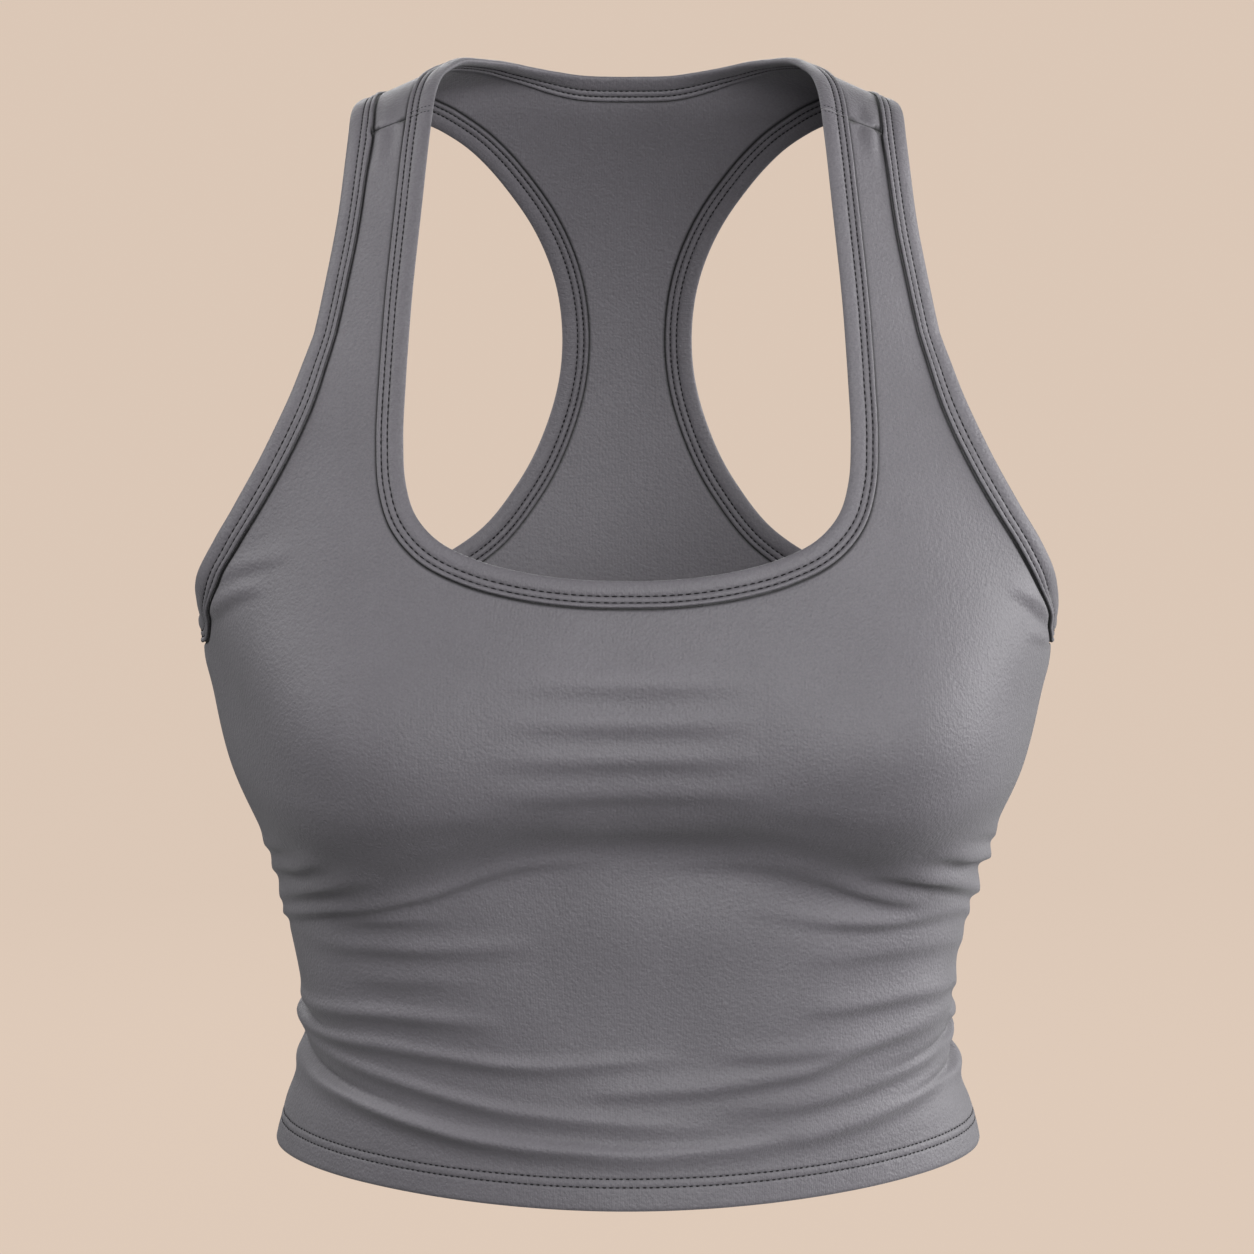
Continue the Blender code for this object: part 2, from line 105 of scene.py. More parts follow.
mm = -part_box("front_panel")[0].z / bodyForm["hemDrop"]


# a smooth curve through the values at the knots
def smoothThrough(knots, values, at):
    knots, values = np.asarray(knots, float), np.asarray(values, float)
    gaps = np.diff(knots)
    slopes = np.diff(values, axis=0) / gaps[:, None]
    share = (gaps[1:] / (gaps[1:] + gaps[:-1]))[:, None]
    tangents = np.vstack([slopes[:1], slopes[:-1] * share + slopes[1:] * (1 - share), slopes[-1:]])
    at = np.asarray(at, float)
    i = np.clip(np.searchsorted(knots, at, side="right") - 1, 0, len(gaps) - 1)
    gap = gaps[i][..., None]
    u = ((at - knots[i]) / gaps[i])[..., None]
    start = (2 * u**3 - 3 * u**2 + 1) * values[i] + (u**3 - 2 * u**2 + u) * gap * tangents[i]
    return start + (3 * u**2 - 2 * u**3) * values[i + 1] + (u**3 - u**2) * gap * tangents[i + 1]


def unit(vectors):
    return vectors / np.linalg.norm(vectors, axis=-1, keepdims=True)


def lengthsAlong(points):
    steps = np.linalg.norm(np.diff(np.asarray(points, float), axis=0), axis=1)
    return np.concatenate([[0.0], np.cumsum(steps)])


ridge = bodyForm["centreLine"].index((0, 0))
centreAt = lengthsAlong(bodyForm["centreLine"])
centreAt -= centreAt[ridge]
levelRows = np.array(bodyForm["levels"])
frontHem, backHem = float(centreAt[0]), float(centreAt[-1])

# the centre line, read off once at close steps
past, count = bodyForm["tape"]
tapeSteps = np.linspace(frontHem - past, backHem + past, count)
tapeLine = smoothThrough(centreAt, bodyForm["centreLine"], tapeSteps)


def softStep(start, end, at):
    u = np.clip((at - start) / (end - start), 0, 1)
    return u * u * (3 - 2 * u)


def hump(away, width, power=2):
    return np.exp(-((np.abs(away) / width) ** power))


# 1 before the start and 0 after it
def fadeOut(at, start, softness):
    return 1 / (1 + np.exp(np.clip((at - start) / softness, -60, 60)))


archRows = np.array(bodyForm["archDrop"], float)
fadeLow, holdLow, holdHigh, fadeHigh = bodyForm["archReach"]


def bodyPoint(turn, along):
    height = np.interp(along, tapeSteps, tapeLine[:, 1])
    drop = smoothThrough(archRows[:, 0], archRows[:, 1:], np.clip(turn, -90, 90))[..., 0]
    drop = drop * softStep(fadeLow, holdLow, height) * (1 - softStep(holdHigh, fadeHigh, height))
    depth = np.interp(along + np.where(along < 0, drop, 0), tapeSteps, tapeLine[:, 0])
    level = smoothThrough(levelRows[:, 0], levelRows[:, 1:], np.clip(height, *bodyForm["levelReach"]))
    square = np.where(along < 0, level[..., 1], level[..., 2])
    angle = np.radians(turn)
    x = level[..., 0] * ((1 + square) * np.sin(angle) + square * np.sin(3 * angle))
    y = depth * ((1 + square) * np.cos(angle) - square * np.cos(3 * angle))
    outside = np.abs(x) - bodyForm["shoulderStart"]
    fall = 0.5 * (outside + np.sqrt(outside**2 + bodyForm["shoulderSoftness"] ** 2))
    reach, power = bodyForm["shoulderDepth"]
    share = np.clip(1 + height / reach, 0, 1) ** power
    return np.stack([x, y, height - bodyForm["shoulderSlope"] * share * fall], -1)


def centreHeight(along):
    return np.interp(along, tapeSteps, tapeLine[:, 1])


def alongAt(height, behind):
    side = (tapeSteps if behind else -tapeSteps) > bodyForm["nearRidge"]
    heights, steps = tapeLine[side, 1], tapeSteps[side]
    order = np.argsort(heights)
    return np.interp(height, heights[order], steps[order])


# the same angle carried on round the back: 90 at the seam, 180 at the back centre
def aroundOf(turn, along):
    return np.where(along < 0, turn, np.copysign(180 - np.abs(turn), turn))


# the folds: lift, reach above, reach below, then the course of the fold's foot as around, height
# and share of the lift
folds = {
    "leftSide": (
        (1.63, 3.8, 1.82, ((-126, -284, 0), (-108, -286, .4), (-90, -282, .7), (-76, -276, .6),
            (-64, -270.6, .63), (-56, -267.4, 0))),
        (1.78, 3.7, 1.69, ((-124, -297, 0), (-106, -296, .4), (-90, -291, .7), (-78, -286, .6),
            (-66, -279.8, .78), (-55, -274.8, .79), (-50, -271.3, .54), (-45, -269.2, 0))),
        (1.74, 4.1, 1.8, ((-138, -306, 0), (-112, -305, .5), (-90, -301, .6), (-84, -299, .6),
            (-71, -292.7, .72), (-54, -283.3, .96), (-44, -277.3, .85), (-40, -274.7, .57),
            (-35, -272.6, 0))),
        (1.81, 3.5, 1.43, ((-152, -318, 0), (-130, -315, .4), (-106, -312, .6), (-90, -308, .7),
            (-84, -305, .75), (-58, -293.3, .84), (-47, -288, .82), (-39, -284.8, .87), (-33, -281.7, .99),
            (-28, -279, .97), (-20, -273, .7), (-14, -268.8, .51), (-8, -267.2, .33), (-2, -266.4, 0))),
        (1.05, 3.3, 1.61, ((-47, -292.6, 0), (-39, -290.7, .81), (-33, -289.5, .95), (-25, -287.9, 0))),
        (1.66, 3.3, 2.87, ((-66, -304.3, 0), (-53, -303.6, .38), (-38, -301.4, .86), (-30, -300.1, 1.06),
            (-23, -298.9, .78), (-12, -297.3, 0))),
        (.82, 6.3, 3.07, ((-50, -315, 0), (-40, -313.8, 1.01), (-31, -311.9, 1.05), (-20, -311, 0))),
        (1.99, 2.8, 3.08, ((-84, -334, 0), (-78, -333, .45), (-69, -331.6, .66), (-58, -329.3, .84),
            (-50, -328, .84), (-42, -326.9, .96), (-34, -326.3, .9), (-27, -326.1, .65), (-18, -326.5, 0))),
        (2.15, 2.1, 2.66, ((-134, -336, 0), (-118, -339, .4), (-104, -342, .7), (-90, -344, .8),
            (-80, -343.6, .75), (-71, -341.7, .79), (-59, -339.5, .84), (-51, -339, .77),
            (-43, -338.7, .72), (-36, -339, .77), (-28, -339.8, .88), (-22, -340.9, .96),
            (-16, -341.5, .98), (-10, -341.2, .77), (-3, -339.8, .57), (4, -339.1, .28), (10, -338.8, 0))),
        (2.23, 2, 3.01, ((-84, -347.8, 0), (-72, -347.1, .46), (-60, -347.6, .57), (-51, -349.1, .69),
            (-43, -350.8, .79), (-38, -352.2, .86), (-31, -354.4, .97), (-27, -355.8, .99),
            (-21, -357.7, .95), (-13, -359.3, .9), (-5, -360.5, .73), (2, -361.8, .55), (9, -362.8, .26),
            (17, -363.6, 0))),
        (3.38, 2, 3.22, ((-82, -360, 0), (-72, -360.9, .35), (-60, -361.5, .65), (-54, -362, .83),
            (-47, -363.6, .96), (-41, -365.1, 1.01), (-36, -366.5, 1.04), (-30, -368.3, 1.08),
            (-25, -369.4, 1.03), (-17, -370.7, .99), (-10, -371.3, .84), (2, -372.6, .63), (9, -372.2, .54),
            (16, -371.5, .5), (21, -370.9, .46), (28, -370.4, 0))),
        (1.1, 3.6, 2.89, ((-122, -342, 0), (-108, -343.4, .5), (-97, -344.6, .9), (-90, -345, 1),
            (-84, -345.2, .7), (-76, -345, 0))),
        (1.5, 4.4, 3.91, ((-140, -352, 0), (-120, -356, .5), (-104, -359.5, .9), (-94, -361, 1),
            (-88, -361.4, 1), (-82, -361.6, .6), (-74, -361.2, 0))),
        (.17, 3.1, 1.44, ((-46, -282.1, 0), (-40, -279.5, .6), (-34, -276.2, .99), (-28, -273, .99),
            (-22, -269.8, .69), (-15, -266.9, 0))),
    ),
    "rightSide": (
        (1.59, 4, 1.68, ((52, -261.1, 0), (61, -263.7, .52), (67, -266.5, .81), (80, -274, .9),
            (90, -279, .9), (104, -282, .5), (122, -283, 0))),
        (3.13, 5.1, 1.82, ((44, -267.4, 0), (50, -268, .52), (59, -272.4, 1.01), (68, -276.2, 1),
            (79, -281.7, .95), (90, -287.5, .85), (104, -292, .5), (124, -295, 0))),
        (3.2, 5.1, 1.74, ((33, -274.7, 0), (41, -275.4, .62), (48, -277.3, .98), (53, -279.7, .92),
            (62, -285.1, .81), (80, -295, .8), (90, -300, .7), (106, -305, .5), (128, -309, .3),
            (144, -311, 0))),
        (2.5, 5, 1.62, ((13, -270.3, 0), (20, -272.7, .17), (27, -276.3, .46), (34, -281.1, .88),
            (37, -282.5, 1), (41, -284.2, .89), (45, -285.4, .64), (51, -287, 0))),
        (2.08, 5, 1.76, ((14, -284.1, 0), (22, -287.7, .23), (29, -290.7, .59), (34, -291.8, .93),
            (41, -292.9, 1.04), (47, -293, .77), (57, -293.9, .52), (69, -297.3, .42), (80, -303.5, .45),
            (90, -308, .45), (110, -314, .3), (126, -317, 0))),
        (1.11, 6.1, 2.52, ((24, -304, 0), (38, -304, .86), (43, -304.1, 1.02), (52, -304.8, .98),
            (61, -306.5, .74), (78, -313.3, .6), (90, -318, .5), (108, -323, 0))),
        (.8, 5.3, 2.1, ((3, -268, 0), (9, -269, .74), (14, -269.2, 1.01), (20, -270.2, .97),
            (26, -272.3, .47), (31, -274.8, 0))),
        (1.76, 5.3, 2.33, ((26, -322.3, 0), (31, -322.4, .54), (36, -322.8, .85), (41, -322.5, 1.04),
            (48, -322.1, .98), (55, -322.5, .82), (65, -324.6, .69), (75, -327.3, .68), (84, -331.6, .8),
            (90, -333.4, .9), (104, -335, .6), (122, -335, .4), (142, -333, 0))),
        (1.32, 4.6, 2.08, ((13, -337.6, 0), (18, -337.5, .6), (23, -337.9, .92), (29, -337.6, .97),
            (36, -337.2, .49), (42, -336.7, 0))),
        (2.18, 4.8, 2.1, ((-9, -351, 0), (-1, -350.4, .59), (5, -350, .7), (12, -349.4, .75),
            (19, -347.8, .69), (25, -346.2, .8), (32, -344.1, .82), (35, -342, .9), (39, -339.2, .95),
            (42, -337.9, .99), (48, -336.4, .83), (54, -335.5, .67), (62, -335.4, .54), (71, -336.6, .45),
            (80, -341, .5), (87, -343.2, .3), (94, -344.5, 0))),
        (1.87, 5.6, 2.33, ((15, -356.9, 0), (22, -357.1, .4), (29, -357.3, .66), (33, -356.5, .89),
            (40, -354.6, .99), (44, -353.6, .93), (49, -352.2, .84), (55, -351, .75), (63, -349.9, .53),
            (68, -349.3, .3), (77, -350.5, 0))),
        (2.31, 5.3, 2.72, ((21, -369.1, 0), (32, -369.6, .76), (37, -368.4, .9), (42, -367.1, .96),
            (47, -365.8, .94), (53, -364, 1.01), (59, -362.5, .94), (65, -361.4, .73), (74, -360.6, .33),
            (84, -361.5, 0))),
        (1.7, 4, 2.89, ((74, -341.1, 0), (82, -341.4, .7), (90, -341.4, 1), (98, -340.6, .9),
            (112, -339, .5), (128, -338, 0))),
        (1.99, 3.6, 3.06, ((76, -350.5, 0), (83, -351, .7), (90, -350.6, 1), (100, -349.2, .8),
            (116, -347, .4), (130, -346, 0))),
        (2.4, 4.4, 4.08, ((72, -362.5, 0), (82, -363.4, .7), (90, -363.4, 1), (100, -362, .9),
            (118, -359, .5), (138, -355, 0))),
    ),
    "centre": (
        (1.43, 6.5, 4, ((-15, -202.1, 0), (-6, -202.2, .9), (4, -202.3, 1.1), (14, -202, 0))),
        (1.59, 5.4, 3.8, ((-16, -215.2, 0), (-6, -215.2, 1), (5, -215.3, 1.1), (15, -215.1, 0))),
        (1.79, 5.2, 3.5, ((-17, -227.5, 0), (-6, -227.5, 1), (5, -227.4, 1.15), (16, -227.2, 0))),
        (1.32, 5.0, 3.5, ((-17, -239.2, 0), (-7, -239.3, 1), (6, -239.4, 1), (18, -239, 0))),
        (2.09, 6.4, 5.4, ((-22, -253.4, 0), (-13, -254, .25), (-5, -254, .8), (6, -254.2, .9),
            (13, -255, .4), (23, -256.2, 0))),
    ),
    "back": (
        (1.26, 6, 3.2, ((134, -268, 0), (152, -266, .8), (176, -267, 1), (200, -265, .8), (222, -268, 0))),
        (1.49, 6, 2.88, ((128, -291, 0), (146, -288, .7), (168, -290, 1), (190, -289, .9), (212, -291, .5),
            (228, -294, 0))),
        (1.72, 5.5, 2.72, ((118, -322, 0), (138, -316, .7), (158, -314, 1), (178, -316, .8),
            (196, -319, 0))),
        (1.38, 5.5, 2.72, ((168, -306, 0), (186, -304, .8), (206, -307, 1), (226, -313, .6),
            (240, -318, 0))),
        (2.18, 5.5, 2.56, ((104, -328, 0), (120, -327, .6), (140, -326, .9), (160, -328, 1),
            (180, -331, .8), (200, -333, .5), (216, -333, 0))),
        (1.95, 5, 2.56, ((140, -343, 0), (160, -341, .7), (182, -343, 1), (204, -341, 1), (224, -338, .8),
            (240, -336, .5), (252, -336, 0))),
        (2.18, 5, 2.72, ((110, -352, 0), (126, -351, .7), (146, -352, .9), (166, -355, 1), (186, -357, .8),
            (206, -357, 0))),
        (2.07, 4.6, 3.04, ((172, -367, 0), (192, -366, .7), (212, -362, 1), (230, -357, .9),
            (246, -353, .6), (258, -351, 0))),
        (1.61, 4.6, 3.04, ((118, -366, 0), (136, -368, .8), (156, -370, 1), (176, -369, 0))),
    ),
    "armholes": (
        (1.76, 4, 1.61, ((-74, -193.1, 0), (-69.5, -189.5, .5), (-66, -186.8, .95), (-62, -183, 1.05),
            (-57, -178.7, .85), (-50, -174.8, 0))),
        (1.1, 4, 1.75, ((-65, -177.6, 0), (-61, -174.2, .6), (-56, -169.9, 1.01), (-51, -166.4, .7),
            (-45, -162.6, 0))),
        (1.95, 4, 1.61, ((54, -175.7, 0), (59, -179.7, .67), (64, -184.7, 1.06), (68, -189, .9),
            (71.5, -192.6, .4), (75, -195.8, 0))),
        (.9, 3.6, 1.7, ((60, -193.3, 0), (64, -195.1, .68), (70, -198.7, .98), (74, -201, .5),
            (79, -203.4, 0))),
    ),
}

# depth, width, then the bottom of the tuck: around, height, share of the depth
tucks = {
    "left": (
        (2.4, 1.5, ((-134, -334, 0), (-116, -334, .4), (-100, -335, .8), (-92, -336.4, 1), (-84, -337.4, 1),
            (-72, -336.6, .9), (-63, -336, .6), (-56, -335.6, .35), (-46, -334.7, 0))),
        (3.2, 1.7, ((-152, -341, 0), (-128, -342, .4), (-108, -344.4, .8), (-96, -346.6, 1),
            (-90, -348.4, 1), (-84, -350.6, 1), (-77, -352.4, 1), (-70, -353.6, .9), (-62, -355.1, .8),
            (-56, -356.5, .65), (-50, -357.9, .45), (-45, -358.9, .25), (-38, -360.5, 0))),
    ),
    "right": (
        (.9, 1.3, ((49, -333, 0), (63, -333.9, .6), (77, -336.1, .8), (88, -337.6, 1), (96, -337.6, .7),
            (110, -336, 0))),
        (2.4, 1.5, ((44, -347.6, 0), (50, -347.3, .3), (58, -345.6, .6), (66, -345, .8), (75, -345.6, 1),
            (82, -346.8, 1), (88, -345.4, 1), (94, -343.6, .9), (108, -342, .5), (128, -341, 0))),
        (3.0, 1.6, ((47, -359.8, 0), (57, -359.4, .4), (64, -358.7, .65), (72, -358.1, .9), (81, -357.4, 1),
            (87, -355.4, 1), (92, -352.8, 1), (100, -350.8, .8), (118, -350, .4), (140, -349, 0))),
    ),
}

# soft creases down the straps: turn, half width, reach from the shoulder seam (minus behind), rise
pleats = (
    (-45.9, 1.1, 26, -1.1), (-43.6, 1.3, 28, 1.2), (-41.0, 1.2, 25, -0.9), (-38.9, 1.0, 15, 0.3),
    (45.6, 1.1, 28, -0.8), (43.2, 1.4, 24, 1.0), (40.6, 1.2, 20, -0.7),
    (-43.0, 1.6, -24, 0.8), (-45.6, 1.2, -20, -0.5), (44.0, 1.6, -22, 0.8), (41.2, 1.3, -26, -0.6),
)
pleatStart = (0.4, 3.4)  # where a crease begins below the seam and where it is full
pleatFade = 3.0  # where it begins to die away again

foldShape = {
    "mmPerDegree": 2.1,  # round the waist
    "pathSteps": 300,
    "topAbove": 0.7,  # how far above the foot the fold is highest, as a share of its reach below
    "sink": 0.22,  # how much of the lift the cloth sinks below the foot
    "sinkBelow": 1.5,
    "sinkReach": 1.3,
    "tuckPower": 1.4,
}
mmPerDegree = foldShape["mmPerDegree"]
foldTables = [(*shape, path) for group in folds.values() for *shape, path in group]
foldTables += [(-depth, width, 0, path) for group in tucks.values() for depth, width, path in group]


# height, share and slope of a fold's path, read off at close steps
def pathTable(path):
    path = np.array(path, float)
    steps = np.linspace(path[0, 0], path[-1, 0], foldShape["pathSteps"])
    found = smoothThrough(path[:, 0], path[:, 1:], steps)
    slope = np.gradient(found[:, 0], steps) / mmPerDegree
    share = np.clip(found[:, 1], 0, None)
    return steps, found[:, 0], share, 1 / np.sqrt(1 + slope**2)


pathTables = [pathTable(path) for *_, path in foldTables]


def foldLift(around, height):
    lift = np.zeros(np.broadcast(around, height).shape)
    for (rise, up, down, _), (steps, heights, shares, slant) in zip(foldTables, pathTables):
        middle = (steps[0] + steps[-1]) / 2
        here = around + 360 * np.round((middle - around) / 360)
        share = np.interp(here, steps, shares, left=0, right=0)
        below = (np.interp(here, steps, heights) - height) * np.interp(here, steps, slant)
        if down:
            away = below + foldShape["topAbove"] * down
            shape = hump(away, np.where(away < 0, up, down))
            sunk = below - foldShape["sinkBelow"] * down
            shape -= foldShape["sink"] * hump(sunk, foldShape["sinkReach"] * down)
        else:
            shape = hump(below, up, foldShape["tuckPower"])
        lift += rise * share * shape
    return lift


# an uneven wave between -1 and 1
def wobble(a, b, seed):
    return (
        np.sin(a * 1.0 + b * 0.31 + seed) + np.sin(a * 0.57 - b * 0.83 + 2.1 * seed + 1.3)
        + np.sin(a * 1.73 + b * 0.49 + 3.7 * seed + 4.0)
    ) / 3


surfaceSteps = (0.05, 0.1)  # degrees and millimetres over which the slope of the cloth is read


# how far the cloth stands off the plain form
def liftOf(turn, along):
    around, height = aroundOf(turn, along), centreHeight(along)
    lift = foldLift(around, height)
    for atTurn, atHeight, reachTurn, reachHeight, rise in bodyForm["fullness"]:
        lift += rise * hump(around - atTurn, reachTurn) * hump(height - atHeight, reachHeight)
    for atTurn, width, reach, rise in pleats:
        below = (edges["shoulderSeam"] - along) * math.copysign(1, reach)
        fade = softStep(*pleatStart, below) * (1 - softStep(pleatFade, abs(reach), below))
        lift += rise * fade * hump(turn - atTurn, width)
    inward = np.clip(np.interp(along, flareSteps, flareTurn) - np.abs(turn), 0, None)
    lift += np.interp(along, flareSteps, flareRise) * hump(inward, *edges["flareReach"])
    # the neck stands up a little round the back
    wide, deep, power = bodyForm["backNeck"]
    away = (np.abs(turn) / wide) ** power + (np.clip(along, 0, None) / deep) ** power
    stand, full, reach = bodyForm["neckStand"]
    lift += stand * softStep(0, full, along) * hump(deep * (away ** (1 / power) - 1), reach)
    for rise, lengthRound, lengthUp, seed in bodyForm["waves"]:
        lift += rise * wobble(around / lengthRound, height / lengthUp, seed)
    return lift


# how a surface runs across and down from a place, in millimetres for a degree and a millimetre
def slopesOf(pointOf, turn, along):
    a, d = surfaceSteps
    across = (pointOf(turn + a, along) - pointOf(turn - a, along)) / (2 * a)
    return across, (pointOf(turn, along + d) - pointOf(turn, along - d)) / (2 * d)


def facing(pointOf, turn, along):
    return pointOf(turn, along), unit(np.cross(*slopesOf(pointOf, turn, along)))


def clothPoint(turn, along):
    point, normal = facing(bodyPoint, turn, along)
    return point + normal * liftOf(turn, along)[..., None]


# points at a height above the outer face of the cloth, in metres
def placed(places, height):
    point, normal = facing(clothPoint, places[:, 0], places[:, 1])
    return (point + normal * np.broadcast_to(height, len(places))[:, None]) * mm, normal


# the panels' edges: turn, along
edges = {
    "neck": (
        (-8, 55.3), (0, 55.6), (8, 54.1), (15, 46.8), (20, 35.8), (25, 20.6), (28.8, 6), (31, -9),
        (32.2, -25), (32.7, -42), (33.2, -66), (33.1, -95), (32.7, -120), (31.9, -143), (30.7, -165),
        (29.2, -179), (26.8, -190.5), (23.2, -199), (18.2, -205), (12, -209.3), (5, -211.7),
        (0, -212), (-5, -211.7),
    ),
    "armholeFront": (
        (77.6, -239.8), (74.4, -233.2), (68.8, -222.6), (63.8, -209.5), (60.3, -197), (56.2, -178),
        (53.6, -156), (53.3, -136), (53, -112), (53, -88), (53.2, -62), (53, -36), (53, -12),
    ),
    "armholeBack": (
        (52, 8), (50.5, 24), (46.5, 42), (40, 60), (31.5, 75), (25.2, 87), (19.1, 102),
        (14.2, 118), (10.8, 136), (9, 156), (8.8, 173), (10.3, 194), (13.8, 216), (18.8, 233.5),
        (24.5, 242.8), (32, 248.0), (45, 250.7), (65, 251.0),
    ),
    # how far the bound edge of the front turns out towards the chest: along, rise
    "flare": (
        (-243, 0), (-233, 1.9), (-222, 5.1), (-209, 6.2), (-196, 5.6), (-178, 5.1), (-158, 4.3),
        (-140, 2.1), (-125, 0),
    ),
    "flareSpan": (-250, -125, 300),  # from and to, in how many steps
    "flareReach": (7.0, 1.4),  # in degrees of turn, and how roundly it fades
    "underarmHeight": -198.4,
    # how the armhole edge passes the side seam: turn, how much nearer the ridge than the underarm
    "underarmFront": ((99, 2.2), (90, 0), (84, 3.2)),
    "underarmBack": ((90, 0), (98, 0)),
    "shared": 4,  # places over the shoulder that front and back armhole edges share
    "shoulderSeam": -36.5,
    "turnLength": 2.2,  # millimetres of one degree in the flat plan
    "samples": 1600,
    "moveStep": 0.75,
}


# the whole armhole edge of one panel, carried a little past its ends
def armholeTable(behind):
    low, shared = float(alongAt(edges["underarmHeight"], behind)), edges["shared"]
    passing = edges["underarmBack" if behind else "underarmFront"]
    underarm = tuple((turn, low + more) for turn, more in passing)
    if behind:
        return edges["armholeFront"][-shared:] + edges["armholeBack"] + underarm
    return underarm + edges["armholeFront"] + edges["armholeBack"][:shared]


# the flare's rise and the edge it follows, read off at close steps
flareSteps = np.linspace(*edges["flareSpan"])
flareRows, turnRows = np.array(edges["flare"], float), np.array(armholeTable(False), float)[1:]
flareReached = np.clip(flareSteps, *flareRows[[0, -1], 0])
flareRise = np.clip(smoothThrough(flareRows[:, 0], flareRows[:, 1:], flareReached)[:, 0], 0, None)
flareTurn = smoothThrough(turnRows[:, 1], turnRows[:, :1], flareSteps)[:, 0]


# an edge drawn smoothly through its points, at close steps
def closeEdge(table):
    plan = np.array(table) * (edges["turnLength"], 1)
    lengths = lengthsAlong(plan)
    steps = np.linspace(0, lengths[-1], edges["samples"])
    return smoothThrough(lengths, plan, steps) / (edges["turnLength"], 1)


# the edge moved over the surface into the cloth
def movedIn(edge, distance, side):
    steps = math.ceil(distance / edges["moveStep"])
    for _ in range(steps):
        turn, along = edge.T
        across, down = slopesOf(bodyPoint, turn, along)
        run = np.gradient(edge, axis=0)
        tangent = across * run[:, :1] + down * run[:, 1:]
        inward = side * distance / steps * unit(np.cross(np.cross(across, down), tangent))
        aa, dd, ad = (across**2).sum(1), (down**2).sum(1), (across * down).sum(1)
        pa, pd = (inward * across).sum(1), (inward * down).sum(1)
        flat = aa * dd - ad**2
        edge = edge + np.stack([(pa * dd - pd * ad) / flat, (pd * aa - pa * ad) / flat], 1)
    return edge


# where a row crosses a turn or a length, as a number along the row
def crossing(row, axis, value, last=False):
    away = row[:, axis] - value
    i = int(np.nonzero(away[:-1] * away[1:] <= 0)[0][-1 if last else 0])
    return i + away[i] / (away[i] - away[i + 1])


def sampled(row, at):
    numbers = np.arange(len(row))
    return np.stack([np.interp(at, numbers, row[:, axis]) for axis in (0, 1)], 1)


# rows beside an edge, cut at its two ends, with one place for each station
def strip(table, side, distances, start, end, step):
    edge = closeEdge(table)
    rows = {d: movedIn(edge, d, side) for d in distances}
    ends = {d: (crossing(row, *start), crossing(row, *end, last=True)) for d, row in rows.items()}
    middle = distances[len(distances) // 2]
    first, last = ends[middle]
    numbers = np.linspace(first, last, edges["samples"])
    lengths = lengthsAlong(bodyPoint(*sampled(rows[middle], numbers).T))
    count = max(2, round(lengths[-1] / step))
    share = (np.interp(np.linspace(0, lengths[-1], count + 1), lengths, numbers) - first) / (last - first)
    return {d: sampled(row, ends[d][0] + share * (ends[d][1] - ends[d][0])) for d, row in rows.items()}


def mirrored(places):
    return places * (-1, 1)


def bothHalves(row):
    if abs(row[0, 0]) < abs(row[-1, 0]):
        row = row[::-1]
    row = row.copy()
    row[-1, 0] = 0.0
    return np.vstack([row, mirrored(row[-2::-1])])


panelCut = {
    "edgeRows": (1.9, 5.0, 8.6, 9.45, 9.8, 10.05, 10.4, 11.0, 12.4),  # beside a bound edge; the first is cut
    "bindingSeam": 9.92,  # where the cloth dips beside the sewn binding
    "dip": 0.42,
    "dipWidth": 0.5,
    "dipStep": 0.2,
    "dipInside": (0.12, -0.35),  # how the inside follows it: everywhere, and where it is pinched
    # the dip is deeper low on the front armholes, and its painted shade wider there: turn, along, more
    # depth, more width of the painted shade
    "pinched": ((45, 60), (-140, -215), 1.1, 0.5),
    "edgeStep": 2.1,
    "wall": 0.65,
    "thinnest": 0.15,
    "hemWall": 1.3,
    "hemDepth": (13.5, 0.1),  # how far up the hem is doubled, and how soft its end is
    "hemRise": (0.16, 11.9, 0.35),  # how the doubled hem shows outside: rise, height, softness
    "roundEdge": (0.5, 0.45, 0.55),  # how the lower edge is rounded: outside, inside, reach
    "hemRows": (
        0.25, 0.6, 1.1, 2.2, 4.5, 7.0, 7.7, 8.05, 8.3, 8.55, 8.9, 9.8, 10.7, 11.05, 11.3, 11.55, 11.95,
        12.7, 13.3, 13.7, 14.6,
    ),
    "hemStep": 1.35,
    "seamRows": (0.25, 0.55, 1.0, 1.8),
    "seamStep": 1.25,
    "seamEnds": (15.4, 0.4),  # from the hem to the first step of a side seam, and from the last to its top
    "shoulderStep": (1.6, 1.3),  # millimetres of one degree at the shoulder, and the step there
    "seamDepth": 0.65,
    "seamWidth": 0.5,
    "seamPucker": (0.10, 5.0, 2.2, 7.0),  # rise, reach, length, seed
    # painted shade in the bottoms of the seams: how dark, and over what width
    "bindingShade": (1.6, 0.44),
    "sideShade": (0.7, 0.3),
    "shoulderShade": (1.6, 0.3),
    "gridReach": (95, 450),  # how far the grid goes: columns to each side, length from the ridge
    "gridAcross": 2.5,
    "gridDown": 0.9,
    "gridDownSmooth": 1.6,
    "smoothAbove": 255.0,  # no sharp folds on the cloth nearer the ridge than this
    "clear": 0.8,
}
hemStitch = {
    "rows": (8.3, 11.3),
    "pitch": 2.34,
    "groove": (0.3, 0.45),  # depth, width
    # painted shade along the hem stitch rows: how dark, and over what width
    "shade": (0.4, 0.35),
    "pucker": (0.13, 9.8, 6.0),  # rise, height, reach
    "puckerWave": (1.9, 9.0, 5.0),  # lengths along and up, seed
}


